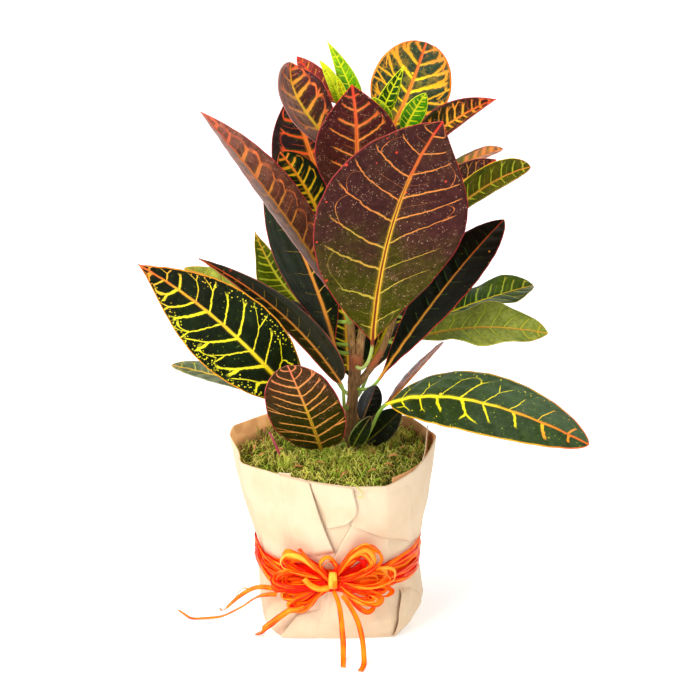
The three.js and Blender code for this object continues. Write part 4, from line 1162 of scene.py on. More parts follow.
def growShoot(bm, name, number):
    row = shootRow(name)

    def thick(t, angle):
        around = Vector((math.cos(angle) * 1.6, math.sin(angle) * 1.6, t * 5 + number * 9))
        swell = 1 + 0.06 * noise.noise(around)
        swell += 0.09 * noise.noise(Vector((math.cos(angle) * 3.4, math.sin(angle) * 3.4, t * 22)))
        if name == "trunk":
            swell += sum(0.13 * math.exp(-((t - scar) / 0.022) ** 2) for scar in stem["scars"])
            swell += 0.28 * math.exp(-((t - stem["knot"]) / 0.04) ** 2)
        return shootRadius(name, t) * swell

    sweep(bm, evenPath(row, max(20, round(pathLength(row) / 0.0022))), thick, 22)


def makeStem():
    bm = bmesh.new()
    for number, name in enumerate(shoots):
        growShoot(bm, name, number)
    finishPiece("stem_bark", bm, makeBarkMaterial(), "stem")


def makeLooseStalk():
    material = grainMaterial("pinkStalk", "#cf4f66", "#b8606a", 180.0, 0.5, (0.3, 0.0003))
    bm = bmesh.new()
    row = points([(-49, -18, 137.4), (-49, -18, 152), (-53, -20, 164), (-57, -21, 174)])
    sweep(bm, evenPath(row, 24), lambda t, angle: (1.4 - 0.55 * t) * mm)
    finishPiece("pink_stalk", bm, material, "loose_stalk")


makeStem()
makeLooseStalk()
print("stem grown")

# Kraft paper: one sheet folded round the pot, with flaps laid over each other at the front.
# tie is the height and spread of the gathers, corner the angle and rise of a folded corner.
# The inner side is painted a warmer orange-brown, with painted shade in a darker brown inside the rim and on
# the flaps' cut edges and undersides, and a painted glow inside at the left as if light came through the
# paper.
kraft = {
    "thickness": 0.8, "flap": 0.45, "around": 400, "levels": 80,
    "colour": "#f0dabc", "fibre": "#d8b284", "inside": "#e6aa70", "shadeBrown": "#8c5c34", "paintedGlow": 0.62,
    "crumple": 0.85, "gather": 1.1, "tie": (60, 26), "corner": (211, 5.5), "flatRadius": 78,
}


def makeKraftMaterial():
    m = Material("kraftPaper")
    where = m.objectPlace()
    x, y, z = m.parts(where)
    turn = m.calc("ARCTAN2", y, x)
    ribs = m.calc("SINE", m.times(turn, 420.0))
    fibrePlace = m.vector(m.times(turn, 60.0), m.times(z, 120.0), 0.0)
    fibre = m.noise(fibrePlace, 6.0, 5.0, 0.7)
    broad = m.noise(where, 26.0, 3.0, 0.55)
    inner, cut = m.attribute("sheetPlace")[:2]
    dull = m.calc("ADD", m.ease(fibre, 0.3, 0.75, 0.0, 0.45), m.times(ribs, 0.07), clamp=True)
    colour = m.mix(dull, paint(kraft["colour"]), paint(kraft["fibre"]))
    colour = m.mix(m.ease(broad, 0.35, 0.7, 0.0, 0.35), colour, paint(kraft["fibre"]))
    # painted shade inside the rim: patches in the folds, and darker down towards the moss
    shade = m.times(m.ease(m.noise(where, 55.0, 2.0), 0.42, 0.58), 0.35)
    shade = m.most(shade, m.ease(z, 0.155, 0.145, 0.0, 0.8))
    within = m.mix(shade, paint(kraft["inside"]), paint(kraft["shadeBrown"]))
    colour = m.mix(inner, colour, within)
    # painted shade on the flaps' cut edges and undersides
    colour = m.mix(m.times(cut, 0.75), colour, paint(kraft["shadeBrown"]))
    m.give("Base Color", colour)
    m.give("Roughness", m.ease(fibre, 0.2, 0.8, 0.66, 0.8))
    m.give("Specular IOR Level", 0.2)
    # a painted glow inside the rim on the left, as if light came through the paper
    m.give("Emission Color", colour)
    through = m.ease(x, 0.03, -0.07, 0.02, kraft["paintedGlow"])
    m.give("Emission Strength", m.times(inner, through))
    relief = m.plus(m.times(ribs, 0.12), m.times(fibre, 0.4))
    m.bump(relief, 0.4, 0.0004)
    return m.material


kraftMaterial = makeKraftMaterial()
wrapTree = treeOf("paper_wrap")


def wrapRadius(angle, height):
    # how far out the frame's paper stands, looking from outside to the pot's middle
    way = outward(angle)
    hit = wrapTree.ray_cast(way * 0.3 + up * height, -way, 0.25)[0]
    return math.hypot(hit.x, hit.y) if hit else None


def rimHeight(angle):
    # the highest place where the frame's paper still stands at this angle
    low, high = 0.14, 0.17
    for _ in range(14):
        middle = (low + high) / 2
        if wrapRadius(angle, middle):
            low = middle
        else:
            high = middle
    return low


def smoothRing(row):
    return [(row[k - 1] + 2 * row[k] + row[(k + 1) % len(row)]) / 4 for k in range(len(row))]


def wrapTable():
    # the rim's height at each angle, and how far out the paper stands there at each level
    count, levels = kraft["around"], kraft["levels"]
    angles = [fullTurn * k / count for k in range(count)]
    rims = smoothRing([rimHeight(angle) for angle in angles])
    table = []
    for j in range(levels + 1):
        t = j / levels
        row = []
        for angle, rim in zip(angles, rims):
            height = max(rim * t, 0.0003) - (0.0004 if j == levels else 0)
            row.append(wrapRadius(angle, height) or row[-1])
        for _ in range(3):
            row = smoothRing(row)
        table.append(row)
    return rims, table


wrapRims, wrapRadii = wrapTable()


def rimAt(angle):
    return wrapRims[round(angle / fullTurn % 1 * kraft["around"]) % kraft["around"]]


# Creases in the paper: two pixels of the eye's picture each, then how far they stand out
creases = [
    ((421, 493), (417, 541), 1.4), ((262, 470), (270, 536), 0.9), ((296, 498), (291, 556), -0.8),
    ((404, 500), (398, 538), 0.7), ((369, 492), (372, 533), -0.5), ((277, 584), (268, 612), 1.0),
    ((316, 604), (306, 636), -0.7), ((352, 600), (350, 637), 0.6), ((378, 606), (384, 637), -0.8),
    ((270, 612), (282, 634), 1.0), ((250, 474), (258, 530), -0.8), ((410, 580), (404, 610), 0.9),
    ((336, 596), (330, 612), -0.8), ((300, 600), (288, 618), 0.8), ((342, 560), (336, 540), -0.7),
    ((248, 470), (254, 520), 1.6), ((405, 541), (392, 541), -2.4), ((402, 585), (390, 589), -2.6),
    ((360, 524), (352, 521), -2.2), ((374, 612), (380, 636), 0.7), ((286, 480), (284, 540), 0.6),
]


def wrapHit(px, py):
    # the place on the frame's paper that the eye sees at a pixel, in front of the pot's middle
    hit = wrapTree.ray_cast(Vector(camera["place"]), sightLine(px, py))[0]
    return hit if hit and hit.y < 0 else None


def unrolled(spot):
    # a place of the paper laid flat: metres round from the front, and up
    return Vector((math.atan2(spot.x, -spot.y) * kraft["flatRadius"] * mm, spot.z))


creaseRows = []
for a, b, rise in creases:
    start, end = wrapHit(*a), wrapHit(*b)
    if start and end:
        creaseRows.append((unrolled(start), unrolled(end), rise))


def creased(angle, height):
    # how far the creases lift the paper, in millimetres
    here = unrolled(Vector((math.cos(angle), math.sin(angle), height)))
    total = 0.0
    for a, b, rise in creaseRows:
        way = b - a
        t = min(max((here - a).dot(way) / way.dot(way), 0.0), 1.0)
        gap = (here - a - way * t).length
        if gap < 0.012:
            total += rise * math.exp(-gap / 0.0032)
    return total


def crumple(angle, height):
    # soft crumples all over, flat facets, creases, and gathers that run up and down from the tie
    way = outward(angle)
    cells = noise.voronoi(way * 2.6 + up * height * 20)[0]
    ridge = min((cells[1] - cells[0]) * 2.4, 1.0)
    dent = (ridge - 0.5) * 0.7 + 0.8 * noise.noise(way * 3.0 + up * height * 24)
    level, spread = kraft["tie"]
    tie = math.exp(-((height / mm - level) / spread) ** 2)
    gather = 0.6 - 1.7 * abs(noise.noise(way * 12 + up * height * 5))
    gather += 0.5 * noise.noise(way * 27 + up * height * 9)
    return (kraft["crumple"] * dent + kraft["gather"] * gather * tie + creased(angle, height)) * mm


def onPaper(angle, t):
    # a point of the paper's outside, t up from the foot to the rim
    count, levels = kraft["around"], kraft["levels"]
    at = (angle / fullTurn % 1) * count
    k, j = int(at) % count, min(int(t * levels), levels - 1)
    a, b = at - int(at), t * levels - j
    low = blendValue(wrapRadii[j][k], wrapRadii[j][(k + 1) % count], a)
    high = blendValue(wrapRadii[j + 1][k], wrapRadii[j + 1][(k + 1) % count], a)
    height = blendValue(wrapRims[k], wrapRims[(k + 1) % count], a) * t
    radius = blendValue(low, high, b) + crumple(angle, height) * smoothStep(height, 0.0, 0.012)
    turn, out = kraft["corner"]
    turned = (math.degrees(angle) % 360 - turn) / 11
    radius += out * mm * math.exp(-turned * turned) * smoothStep(height, 0.1, 0.15)
    return Vector((radius * math.cos(angle), radius * math.sin(angle), height))


def makePaper():
    bm = bmesh.new()
    sheet = bm.verts.layers.float_vector.new("sheetPlace")
    count, levels = kraft["around"], kraft["levels"]
    ring = bmesh.ops.create_circle(bm, segments=count, radius=1.0)["verts"]
    angles = [fullTurn * k / count for k in range(count)]
    for vert, angle in zip(ring, angles):
        vert.co = onPaper(angle, 1.0)
    # down the side to the foot, and past 0 inwards over the base
    for t in [1 - j / levels for j in range(1, levels + 1)] + [-0.1, -0.35, -0.65, -0.95]:
        ring = extrudeRing(bm, ring)
        inward = 1 + min(t, 0)
        for vert, angle in zip(ring, angles):
            spot = onPaper(angle, max(t, 0))
            vert.co = Vector((spot.x * inward, spot.y * inward, spot.z if t > 0 else 0))
    bmesh.ops.contextual_create(bm, geom=ring)
    outside = thickenSheet(bm, kraft["thickness"], lambda f: Vector((*f.calc_center_median().xy, 0)))
    for vert in bm.verts:
        vert[sheet] = (0.0 if vert in outside else 1.0, 0, 0)
    finishPiece("kraft_wrap", bm, kraftMaterial, "paper_wrap")


makePaper()

# Flaps at the front: two edges each, in pixels of the eye's picture. The first edge is joined
# and lies under the sheet, the second is free and lifted; top and end say what the others do.
flaps = {
    "right_panel": {
        "from": [(346, 490), (380, 489), (412, 474)], "to": [(346, 522), (374, 535), (415, 542)],
        "lift": 2.0, "top": "joined", "end": "joined", "body": 0.5, "atRim": True, "bow": 1.0,
    },
    "lower_panel": {
        "from": [(394, 530), (396, 552), (392, 572)], "to": [(355, 519), (341, 544), (329, 569)],
        "lift": 1.2, "top": "joined", "end": "joined", "body": 0.3, "atRim": False, "bow": 0.6,
    },
    "middle_tab": {
        "from": [(300, 486), (318, 512), (324, 529)], "to": [(352, 488), (356, 512), (347, 523)],
        "lift": 3.2, "top": "free", "end": "free", "body": 1.1, "atRim": True, "bow": 1.2,
    },
    "left_panel": {
        "from": [(276, 474), (283, 515), (296, 562)], "to": [(310.5, 485), (324, 526), (336, 556)],
        "lift": 3.6, "top": "free", "end": "joined", "body": 1.7, "atRim": True, "bow": 0.6,
    },
    "low_left_fold": {
        "from": [(326, 604), (324, 622), (322, 639)], "to": [(300, 612), (292, 623), (282, 637)],
        "lift": 3.0, "top": "joined", "end": "free", "body": 0.5, "atRim": False, "bow": 0.4,
    },
    "low_right_fold": {
        "from": [(406, 584), (424, 600), (418, 616)], "to": [(400, 586), (397, 610), (391, 637)],
        "lift": 3.0, "top": "joined", "end": "free", "body": 0.8, "atRim": False, "bow": 0.4,
    },
}


def paperPlace(px, py, atRim):
    # a pixel as an angle and a height on the paper, moved towards its middle where it misses it
    hit = wrapHit(px, py)
    step = 0
    while hit is None:
        step += 1
        share = step * 0.01
        hit = wrapHit(px + (345 - px) * share * 0.3, py + (560 - py) * share)
    angle = math.atan2(hit.y, hit.x)
    share = hit.z / rimAt(angle)
    return Vector((angle, 1.0 if atRim or (step and py < 500) else min(share, 1.0), 0))


def makeFlap(name, flap):
    # the cut edges and the underside are painted darker than the face, as painted shade
    bm = bmesh.new()
    sheet = bm.verts.layers.float_vector.new("sheetPlace")
    top = flap["atRim"]
    across = name == "right_panel"
    start = [paperPlace(*p, top and (across or i == 0)) for i, p in enumerate(flap["from"])]
    end = [paperPlace(*p, top and not across and i == 0) for i, p in enumerate(flap["to"])]
    for vert, s, t in gridSheet(bm, 26, 34):
        spot = throughPoints(start, t).lerp(throughPoints(end, t), s)
        away = blendValue(flap["body"], flap["lift"], s ** 3) + flap["bow"] * math.sin(math.pi * s)
        away *= 1 - 0.25 * noise.noise(Vector((s * 3, t * 4, len(name))))
        seam = smoothStep(s, 0.0, 0.22)
        if flap["top"] == "joined":
            seam *= smoothStep(t, 0.0, 0.14)
        if flap["end"] == "joined":
            seam *= smoothStep(t, 1.0, 0.86)
        away = blendValue(-1.3, away, seam)
        vert.co = onPaper(spot.x, min(max(spot.y, 0.004), 1.0))
        vert.co += outward(spot.x) * away * mm
    face = thickenSheet(bm, kraft["flap"], lambda f: Vector((0, -1, 0)))
    for vert in bm.verts:
        vert[sheet] = (0, 0.0 if vert in face else 1.0, 0)
    finishPiece("kraft_" + name, bm, kraftMaterial)


def makeInnerLip():
    # a strip of the sheet that is folded in at the right, its cut edge up
    bm = bmesh.new()
    sheet = bm.verts.layers.float_vector.new("sheetPlace")
    edge = points([(77, 24, 163.5), (75.5, 4, 159), (73.5, -16, 154), (70, -29, 148.5)])
    foot = points([(78, 24, 150), (77, 2, 146), (75, -17, 143), (71, -30, 141)])
    for vert, s, t in gridSheet(bm, 8, 30):
        vert.co = throughPoints(edge, t).lerp(throughPoints(foot, t), s)
        # all but the cut edge is painted as the inside, with its painted shade and glow; the cut edge stays
        # light
        vert[sheet] = (0.0 if s < 0.15 else 1.0, 0, 0)
    thickenSheet(bm, kraft["thickness"])
    finishPiece("kraft_inner_lip", bm, kraftMaterial)


# Corners of the sheet that stand up inside the rim: from and to in degrees, heights at both ends, and 1 for
# inner where it takes the inside's painted shade and glow
wedges = {
    "right_wedge": {"turn": (300, 323), "rise": (4.6, 0.6), "inner": 1.0},
    "left_wedge": {"turn": (233, 241), "rise": (1.0, 2.6), "inner": 0.0},
}


def makeWedge(name, wedge):
    bm = bmesh.new()
    sheet = bm.verts.layers.float_vector.new("sheetPlace")
    for vert, s, t in gridSheet(bm, 24, 6):
        rim = onPaper(math.radians(blendValue(*wedge["turn"], s)), 1.0)
        height = blendValue(-5, blendValue(*wedge["rise"], s) + 0.3 * noise.noise(rim * 200), t)
        vert.co = rim * (1 - 0.016) + up * (height * mm + 0.016 * rim.z)
        vert[sheet] = (wedge["inner"], 0, 0)
    thickenSheet(bm, kraft["flap"])
    finishPiece("kraft_" + name, bm, kraftMaterial)


for name, flap in flaps.items():
    makeFlap(name, flap)
for name, wedge in wedges.items():
    makeWedge(name, wedge)
makeInnerLip()
print("paper folded")

# Moss: a springy cushion with thousands of fine curled strands. top is the height of the upper
# side's edge, meets the height where it meets the paper; below the first height of shade the
# strands are dark, and by the second above it they are fully lit.
moss = {
    "ground": "#5c5c18", "groundAndShadeDark": "#262406", "light": "#f0ea66", "pale": "#eee27c",
    "green": "#b0d03c", "dark": "#606c14", "brown": "#c07c48", "strands": 4300, "length": (8, 17),
    "radius": 0.3, "thick": 1.9, "thin": 0.95, "joints": 5, "rough": 1.9, "top": 138.5, "meets": 141,
    "shade": (145.5, 9),
}


def makeMossMaterial(name, groundOnly):
    m = Material(name)
    where = m.objectPlace()
    broad = m.noise(where, 60.0, 3.0)
    fine = m.noise(where, 700.0, 3.0)
    if groundOnly:
        # the cushion between the strands is dark, partly its own colour and partly painted shade in the gaps
        colour = m.mix(m.ease(fine, 0.35, 0.65), paint(moss["groundAndShadeDark"]), paint(moss["ground"]))
    else:
        pick, raised = m.attribute("strandPlace")[:2]
        colour = m.mix(m.ease(broad, 0.42, 0.6), paint(moss["light"]), paint(moss["green"]))
        colour = m.mix(m.ease(pick, 0.5, 0.9, 0.0, 0.9), colour, paint(moss["pale"]))
        colour = m.mix(m.ease(pick, 0.05, 0.45, 0.95, 0.0), colour, paint(moss["dark"]))
        # painted shade towards the right and back
        x, y = m.parts(where)[:2]
        shaded = m.calc("MAXIMUM", m.ease(x, 0.0, 0.07), m.ease(y, -0.03, 0.05), clamp=True)
        shaded = m.times(shaded, m.ease(m.noise(where, 45.0, 3.0), 0.4, 0.6))
        colour = m.mix(m.times(shaded, 0.6), colour, paint(moss["groundAndShadeDark"]))
        colour = m.mix(m.calc("GREATER_THAN", pick, 0.94), colour, paint(moss["brown"]))
        # painted shade low down on the strands, near the cushion
        colour = m.mix(m.ease(raised, 0.0, 0.5, 0.85, 0.0), colour, paint(moss["groundAndShadeDark"]))
    m.give("Base Color", colour)
    m.give("Roughness", 0.85)
    m.give("Specular IOR Level", 0.2)
    m.bump(fine, 0.4, 0.0005)
    return m.material


def makeCushion():
    bm = bmesh.new()
    bm.from_mesh(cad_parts["moss"].data)
    bmesh.ops.remove_doubles(bm, verts=bm.verts[:], dist=0.00002)
    bmesh.ops.subdivide_edges(bm, edges=bm.edges[:], cuts=3, use_grid_fill=True)
    for vert in bm.verts:
        if vert.co.z > moss["top"] * mm:
            rise = noise.noise(vert.co * 90) + 0.8 * noise.noise(vert.co * 260)
            vert.co.z += moss["rough"] * mm * rise
    finishPiece("moss_cushion", bm, makeMossMaterial("mossGround", True), "moss")


mossTree = treeOf("moss")


def wallAt(angle):
    # how far out the paper stands where the moss meets it
    wall = onPaper(angle, moss["meets"] * mm / rimAt(angle))
    return math.hypot(wall.x, wall.y)


def layStrand(spline, draw, thickness):
    # one curled strand on the cushion, which keeps inside the paper
    angle = draw.uniform(0, fullTurn)
    reach = math.sqrt(draw.random()) * (wallAt(angle) * 0.985)
    x, y = reach * math.cos(angle), reach * math.sin(angle)
    hit = mossTree.ray_cast(Vector((x, y, 0.2)), -up)[0]
    ground = hit.z if hit else 0.146
    heading = draw.uniform(0, fullTurn)
    length = draw.uniform(*moss["length"]) * mm
    turn = draw.uniform(-3.6, 3.6)
    rise = draw.uniform(0.15, 1.0) * (1 + 1.3 * noise.noise(Vector((x, y, 0)) * 80))
    spline.points.add(moss["joints"])
    spot = Vector((x, y, ground - 0.0008))
    for k, point in enumerate(spline.points):
        t = k / moss["joints"]
        lift = math.sin(math.pi * min(t * 1.15, 1)) * rise * 0.0085
        out = math.hypot(spot.x, spot.y)
        edge = wallAt(math.atan2(spot.y, spot.x)) - 0.0016
        if out > edge:
            spot = Vector((spot.x * edge / out, spot.y * edge / out, spot.z))
        point.co = (*spot.xy, spot.z + lift, 1)
        point.radius = (1.1 - 0.75 * t) * thickness
        heading += turn * 0.4 + draw.uniform(-0.5, 0.5)
        step = Vector((math.cos(heading), math.sin(heading), draw.uniform(-0.12, 0.12)))
        spot = spot + step * length / moss["joints"]


def makeStrands():
    draw = random.Random(11)
    data = bpy.data.curves.new("moss_strands", "CURVE")
    data.dimensions = "3D"
    data.bevel_depth = moss["radius"] * mm
    data.bevel_resolution = 0
    for number in range(moss["strands"]):
        layStrand(data.splines.new("POLY"), draw, moss["thin"] if number % 6 else moss["thick"])
    curves = bpy.data.objects.new("moss_curves", data)
    bm = bmesh.new()
    bm.from_mesh(bpy.data.meshes.new_from_object(curves))
    bpy.data.objects.remove(curves)
    place = bm.verts.layers.float_vector.new("strandPlace")
    each = len(bm.verts) // moss["strands"]
    picks = [draw.random() for _ in range(moss["strands"])]
    low, span = moss["shade"]
    for i, vert in enumerate(bm.verts):
        raised = min(max((vert.co.z / mm - low) / span, 0.0), 1.0)
        vert[place] = (picks[min(i // each, moss["strands"] - 1)], raised, 0)
    finishPiece("moss_strands", bm, strandMaterial)


# Brown bits of bark and leaf that lie in the moss: the pixel and the way each lies, in degrees,
# and how far its start, middle and end stand above the cushion; and a wisp that hangs over the rim
litter = {
    "bits": [(393, 463, 5), (279, 457, 10), (255, 454, 80), (262, 462, 40), (320, 470, -30), (372, 478, 20),
             (402, 455, 50), (298, 474, -10), (344, 481, 60), (388, 472, -20)],
    "long": 8.5, "wide": 2.0, "thick": 0.5, "rise": (6.2, 7.5, 6.6), "colour": "#dc9458", "dark": "#a86c3c",
    "wisp": [(6, -77, 149), (10, -83, 153.5), (15, -86.8, 153), (19, -89, 149), (21, -89.2, 144.5),
             (19, -89, 142.5), (16, -88.8, 144)],
}


def makeLitter():
    material = grainMaterial("mossLitter", litter["colour"], litter["dark"], 300.0, 0.8, (0.5, 0.0004))
    bm = bmesh.new()

    def thick(t, angle):
        flat = math.hypot(litter["wide"] * math.cos(angle) / 2, litter["thick"] * math.sin(angle) / 2)
        return flat * (0.3 + 0.7 * math.sin(math.pi * t)) * mm

    for px, py, lies in litter["bits"]:
        hit = mossTree.ray_cast(Vector(camera["place"]), sightLine(px, py))[0]
        way = Vector((math.cos(math.radians(lies)), math.sin(math.radians(lies)), 0.1)) * litter["long"] * mm
        row = [hit + up * rise * mm + way * (k - 1) / 2 for k, rise in enumerate(litter["rise"])]
        sweep(bm, evenPath(row, 12), thick)
    finishPiece("moss_litter", bm, material)


def makeWisp():
    bm = bmesh.new()
    place = bm.verts.layers.float_vector.new("strandPlace")

    def mark(vert, t):
        vert[place] = (0.6, 1.0, 0.0)

    row = evenPath(points(litter["wisp"]), 60)
    sweep(bm, row, lambda t, angle: 0.4 * (1 - 0.6 * t) * mm, 6, mark=mark)
    for k in range(6, 56, 4):
        # short side hairs all along it
        turn = Vector((math.cos(k * 2.1), 0.3 * math.sin(k * 1.7), math.sin(k * 2.1)))
        hair = [row[k], row[k] + turn * 0.9 * mm, row[k] + turn * 1.9 * mm + up * 0.3 * mm]
        sweep(bm, evenPath(hair, 5), lambda t, angle: 0.22 * (1 - 0.6 * t) * mm, 5, mark=mark)
    finishPiece("moss_wisp", bm, strandMaterial)


makeCushion()
strandMaterial = makeMossMaterial("mossStrand", False)
makeStrands()
makeLitter()
makeWisp()
print("moss laid")

# Raffia band and bow. Each loop: pixels of the eye's picture from the knot round and back to it,
# how far its middle stands out of the waist, and its number of ribbons
bow = {
    "knot": (332.5, 580.5), "knotRadius": 5.4, "waist": 70.35,
    "level": 60.5, "bandHeight": (52, 69), "bandStrands": 15,
    "loops": [
        ([(337, 577), (346, 560), (358, 547), (371, 542.5), (382, 547), (385, 558), (377, 569), (361, 577),
          (341, 583)], 17, 6),
        ([(336, 576), (345, 564), (354, 553), (366, 548), (376, 553), (374, 563), (361, 571),
          (344, 578)], 13, 4),
        ([(338, 580), (358, 575), (379, 568), (394, 571), (396, 579), (386, 586), (368, 588),
          (344, 584)], 14, 6),
        ([(338, 582), (360, 583), (380, 583), (392, 588), (390, 594), (376, 594), (358, 590),
          (342, 585)], 10, 5),
        ([(338, 583), (356, 587), (374, 592), (384, 599), (379, 605), (366, 603), (350, 594),
          (340, 587)], 11, 5),
        ([(336, 586), (345, 594), (357, 606), (366, 613), (371, 608), (365, 598), (352, 590),
          (341, 585)], 8, 1),
        ([(328, 577), (314, 566), (298, 555), (284, 552), (277, 558), (283, 566), (300, 573),
          (320, 579)], 14, 5),
        ([(327, 579), (306, 575), (287, 571), (274, 576), (272, 585), (283, 590), (303, 588),
          (323, 583)], 15, 7),
        ([(327, 581), (308, 582), (290, 580), (280, 584), (280, 592), (292, 596), (308, 592),
          (325, 585)], 11, 4),
        ([(327, 584), (310, 592), (291, 601), (278, 600), (276, 593), (287, 588), (305, 586),
          (322, 583)], 12, 6),
        ([(328, 587), (316, 598), (304, 610), (291, 613), (286, 606), (294, 598), (309, 591),
          (324, 585)], 9, 5),
        ([(330, 576), (336, 567), (333, 560), (325, 559), (317, 563), (320, 569), (327, 576)], 9, 2),
    ],
    # loose strands: pixels along each, how far it stands out at both ends, and its width
    "strands": [
        ([(331, 583), (322, 574), (310, 562), (299, 549)], (7, 13), 3.4),
        ([(329, 588), (320, 589), (310, 585), (304, 579)], (10, 15), 5.2),
        ([(339, 579), (362, 576), (385, 569), (404, 560), (419, 550)], (6, 1.6), 4.2),
        ([(339, 581), (364, 580), (388, 576), (405, 572), (418, 562)], (5, 1.6), 4.4),
        ([(360, 582), (382, 580), (398, 574), (411, 565), (419, 556)], (8, 2.4), 4.0),
        ([(366, 577), (386, 566), (402, 556), (413, 548), (420, 538)], (6, 2.0), 3.6),
        ([(372, 585), (390, 582), (404, 579), (414, 573), (419, 566)], (6, 2.2), 3.8),
        ([(290, 582), (279, 579), (270, 572), (262, 560), (256, 543)], (7, 1.8), 3.6),
        ([(292, 577), (280, 570), (268, 560), (260, 549), (255, 538)], (6, 2.4), 3.2),
        ([(288, 587), (277, 584), (269, 578), (262, 568), (257, 556)], (6, 1.6), 3.4),
        ([(264, 556), (261, 549), (258, 541), (255, 535)], (2.4, 3.2), 2.2),
        ([(330, 584), (312, 588), (296, 592), (282, 594)], (3, 3), 5.4),
        ([(329, 575), (314, 568), (300, 561), (288, 557)], (3, 3), 6.0),
        ([(339, 575), (350, 564), (361, 556), (371, 552)], (3, 3), 6.0),
        ([(329, 587), (312, 592), (300, 599), (288, 603)], (3, 3), 6.0),
        ([(326, 573), (312, 564), (298, 558), (286, 561)], (4, 4), 6.0),
        ([(328, 577), (310, 571), (294, 565), (281, 563)], (4, 4), 6.5),
        ([(342, 577), (358, 573), (374, 567), (390, 567)], (3, 3), 6.0),
        ([(330, 578), (312, 574), (296, 570), (280, 568)], (3, 3), 5.0),
        ([(330, 581), (312, 581), (296, 582), (278, 582)], (3, 3), 5.6),
        ([(328, 588), (314, 597), (302, 604), (290, 608)], (3, 3), 5.0),
        ([(336, 578), (352, 571), (366, 562), (374, 556)], (3, 4), 5.2),
        ([(337, 582), (354, 580), (372, 578), (392, 578)], (3, 3), 5.6),
        ([(337, 584), (352, 588), (366, 593), (380, 598)], (3, 3), 5.0),
        ([(252, 591), (245, 588), (238, 593), (231, 603), (226, 607)], (14, 12), 1.2),
    ],
}


def bowSpot(px, py, out):
    # where the eye's line through a pixel meets a round wall that stands out of the waist
    eye, way = Vector(camera["place"]), sightLine(px, py)
    height = 65.0
    for _ in range(4):
        radius = (bow["waist"] + 0.25 * max(0, height - 70) + 0.1 * max(0, 50 - height) + out) * mm
        across = way.x ** 2 + way.y ** 2
        along = eye.x * way.x + eye.y * way.y
        root = max(along ** 2 - across * (eye.x ** 2 + eye.y ** 2 - radius ** 2), 0.0)
        spot = eye + way * ((-along - math.sqrt(root)) / across)
        height = spot.z / mm
    return spot


def windStrand(bm, draw, n):
    # one turn round the waist; number -1 is broad, lies under the others and is painted deep red as shade
    under = n < 0
    low, high = bow["bandHeight"]
    level = bow["level"] if under else blendValue(low + 2, high - 2, n / (bow["bandStrands"] - 1))
    lean, phase, seed = draw.uniform(0.8, 3.4), draw.uniform(0, 6.3), draw.uniform(0, 50)
    stand = 0.6 if under else 1.0 + 0.4 * (n % 3)
    last = 180
    path = []
    for k in range(last + 1):
        angle = fullTurn * k / last + math.pi / 2
        turn = outward(angle)
        height = bow["level"] + (level - bow["level"]) * (1 + 0.5 * abs(turn.x))
        height += lean * math.sin(angle + phase) + 2.4 * noise.noise(turn * 3 + up * seed)
        away = wrapRadius(angle, height * mm) + (stand + 0.5 * noise.noise(turn * 5 + up * seed)) * mm
        path.append(turn * away + up * height * mm)
    tilt = draw.uniform(-0.5, 0.5)
    # each strand's share of painted red shade: the broad one under the others is nearly all shade, the rest
    # by a random draw
    shade = 0.9 if under else draw.choice((0.05, 0.3, 0.55, 0.8))

    def face(t):
        angle = fullTurn * t + math.pi / 2
        return outward(angle) + up * (0 if under else tilt + 0.4 * math.sin(3 * angle + seed))

    def width(t):
        return (13 if under else 4.4) * mm * (1 + 0.35 * noise.noise(Vector((t * 16, seed, 0))))

    ribbon(bm, path, face, width, 0.2, seed, 4, lambda t: shade)


def makeBand():
    bm = startStrands()
    draw = random.Random(5)
    for n in range(-1, bow["bandStrands"]):
        windStrand(bm, draw, n)
    thickenStrands(bm, 0.4)
    finishPiece("raffia_waistband", bm, raffiaMaterial, "raffia_band")


def tieLoop(bm, draw, row, stand, shrink, lift):
    # one ribbon of a loop; stand says how far it stands out, lift how deep its painted red shade is
    knot = Vector((*bow["knot"], 0))
    start = 1.5 + bow["knotRadius"]
    shift = Vector((draw.uniform(-3, 3), draw.uniform(-3, 3), 0))
    broad = draw.choice((1.4, 2.0, 3.0, 3.8))
    # a random share of painted highlight (below 0) or painted shade, and more painted shade for the inner
    # ribbons
    shade = draw.choice((-0.4, -0.15, 0.0, 0.22)) + lift
    seed, phase = draw.uniform(0, 90), draw.uniform(0, 6.3)
    base = draw.uniform(0.55, 1.15) * draw.choice((-1, 1))
    spots = []
    for k, pixel in enumerate(row):
        t = k / (len(row) - 1)
        crumpled = Vector((draw.uniform(-2, 2), draw.uniform(-2, 2), 0)) + shift
        at = knot + (Vector((*pixel, 0)) - knot) * shrink + crumpled * math.sin(math.pi * t)
        rise = blendValue(start, stand, math.sin(math.pi * t)) - 1.5 * math.cos(math.pi * t)
        spots.append(bowSpot(at.x, at.y, max(rise, 3.0)))
    last = 45
    path = evenPath(spots, last + 1)
    middle = sum(path, Vector()) / len(path)

    def face(t):
        here = path[round(t * last)]
        front = Vector((here.x, here.y, -0.2 * here.z)).normalized()
        wide = base + 0.6 * math.sin(fullTurn * t + phase)
        return (here - middle).normalized() * math.cos(wide) + front * math.sin(wide)

    def width(t):
        crimp = 1 + 0.25 * noise.noise(Vector((t * 8, seed, 0)))
        return (1.6 + broad * math.sin(math.pi * t) ** 0.5) * crimp * mm

    # deeper painted shade at both ends by the knot, lighter in the middle of the loop
    ribbon(bm, path, face, width, 0.14, seed, 4, lambda t: shade + 0.25 - 0.45 * math.sin(math.pi * t))


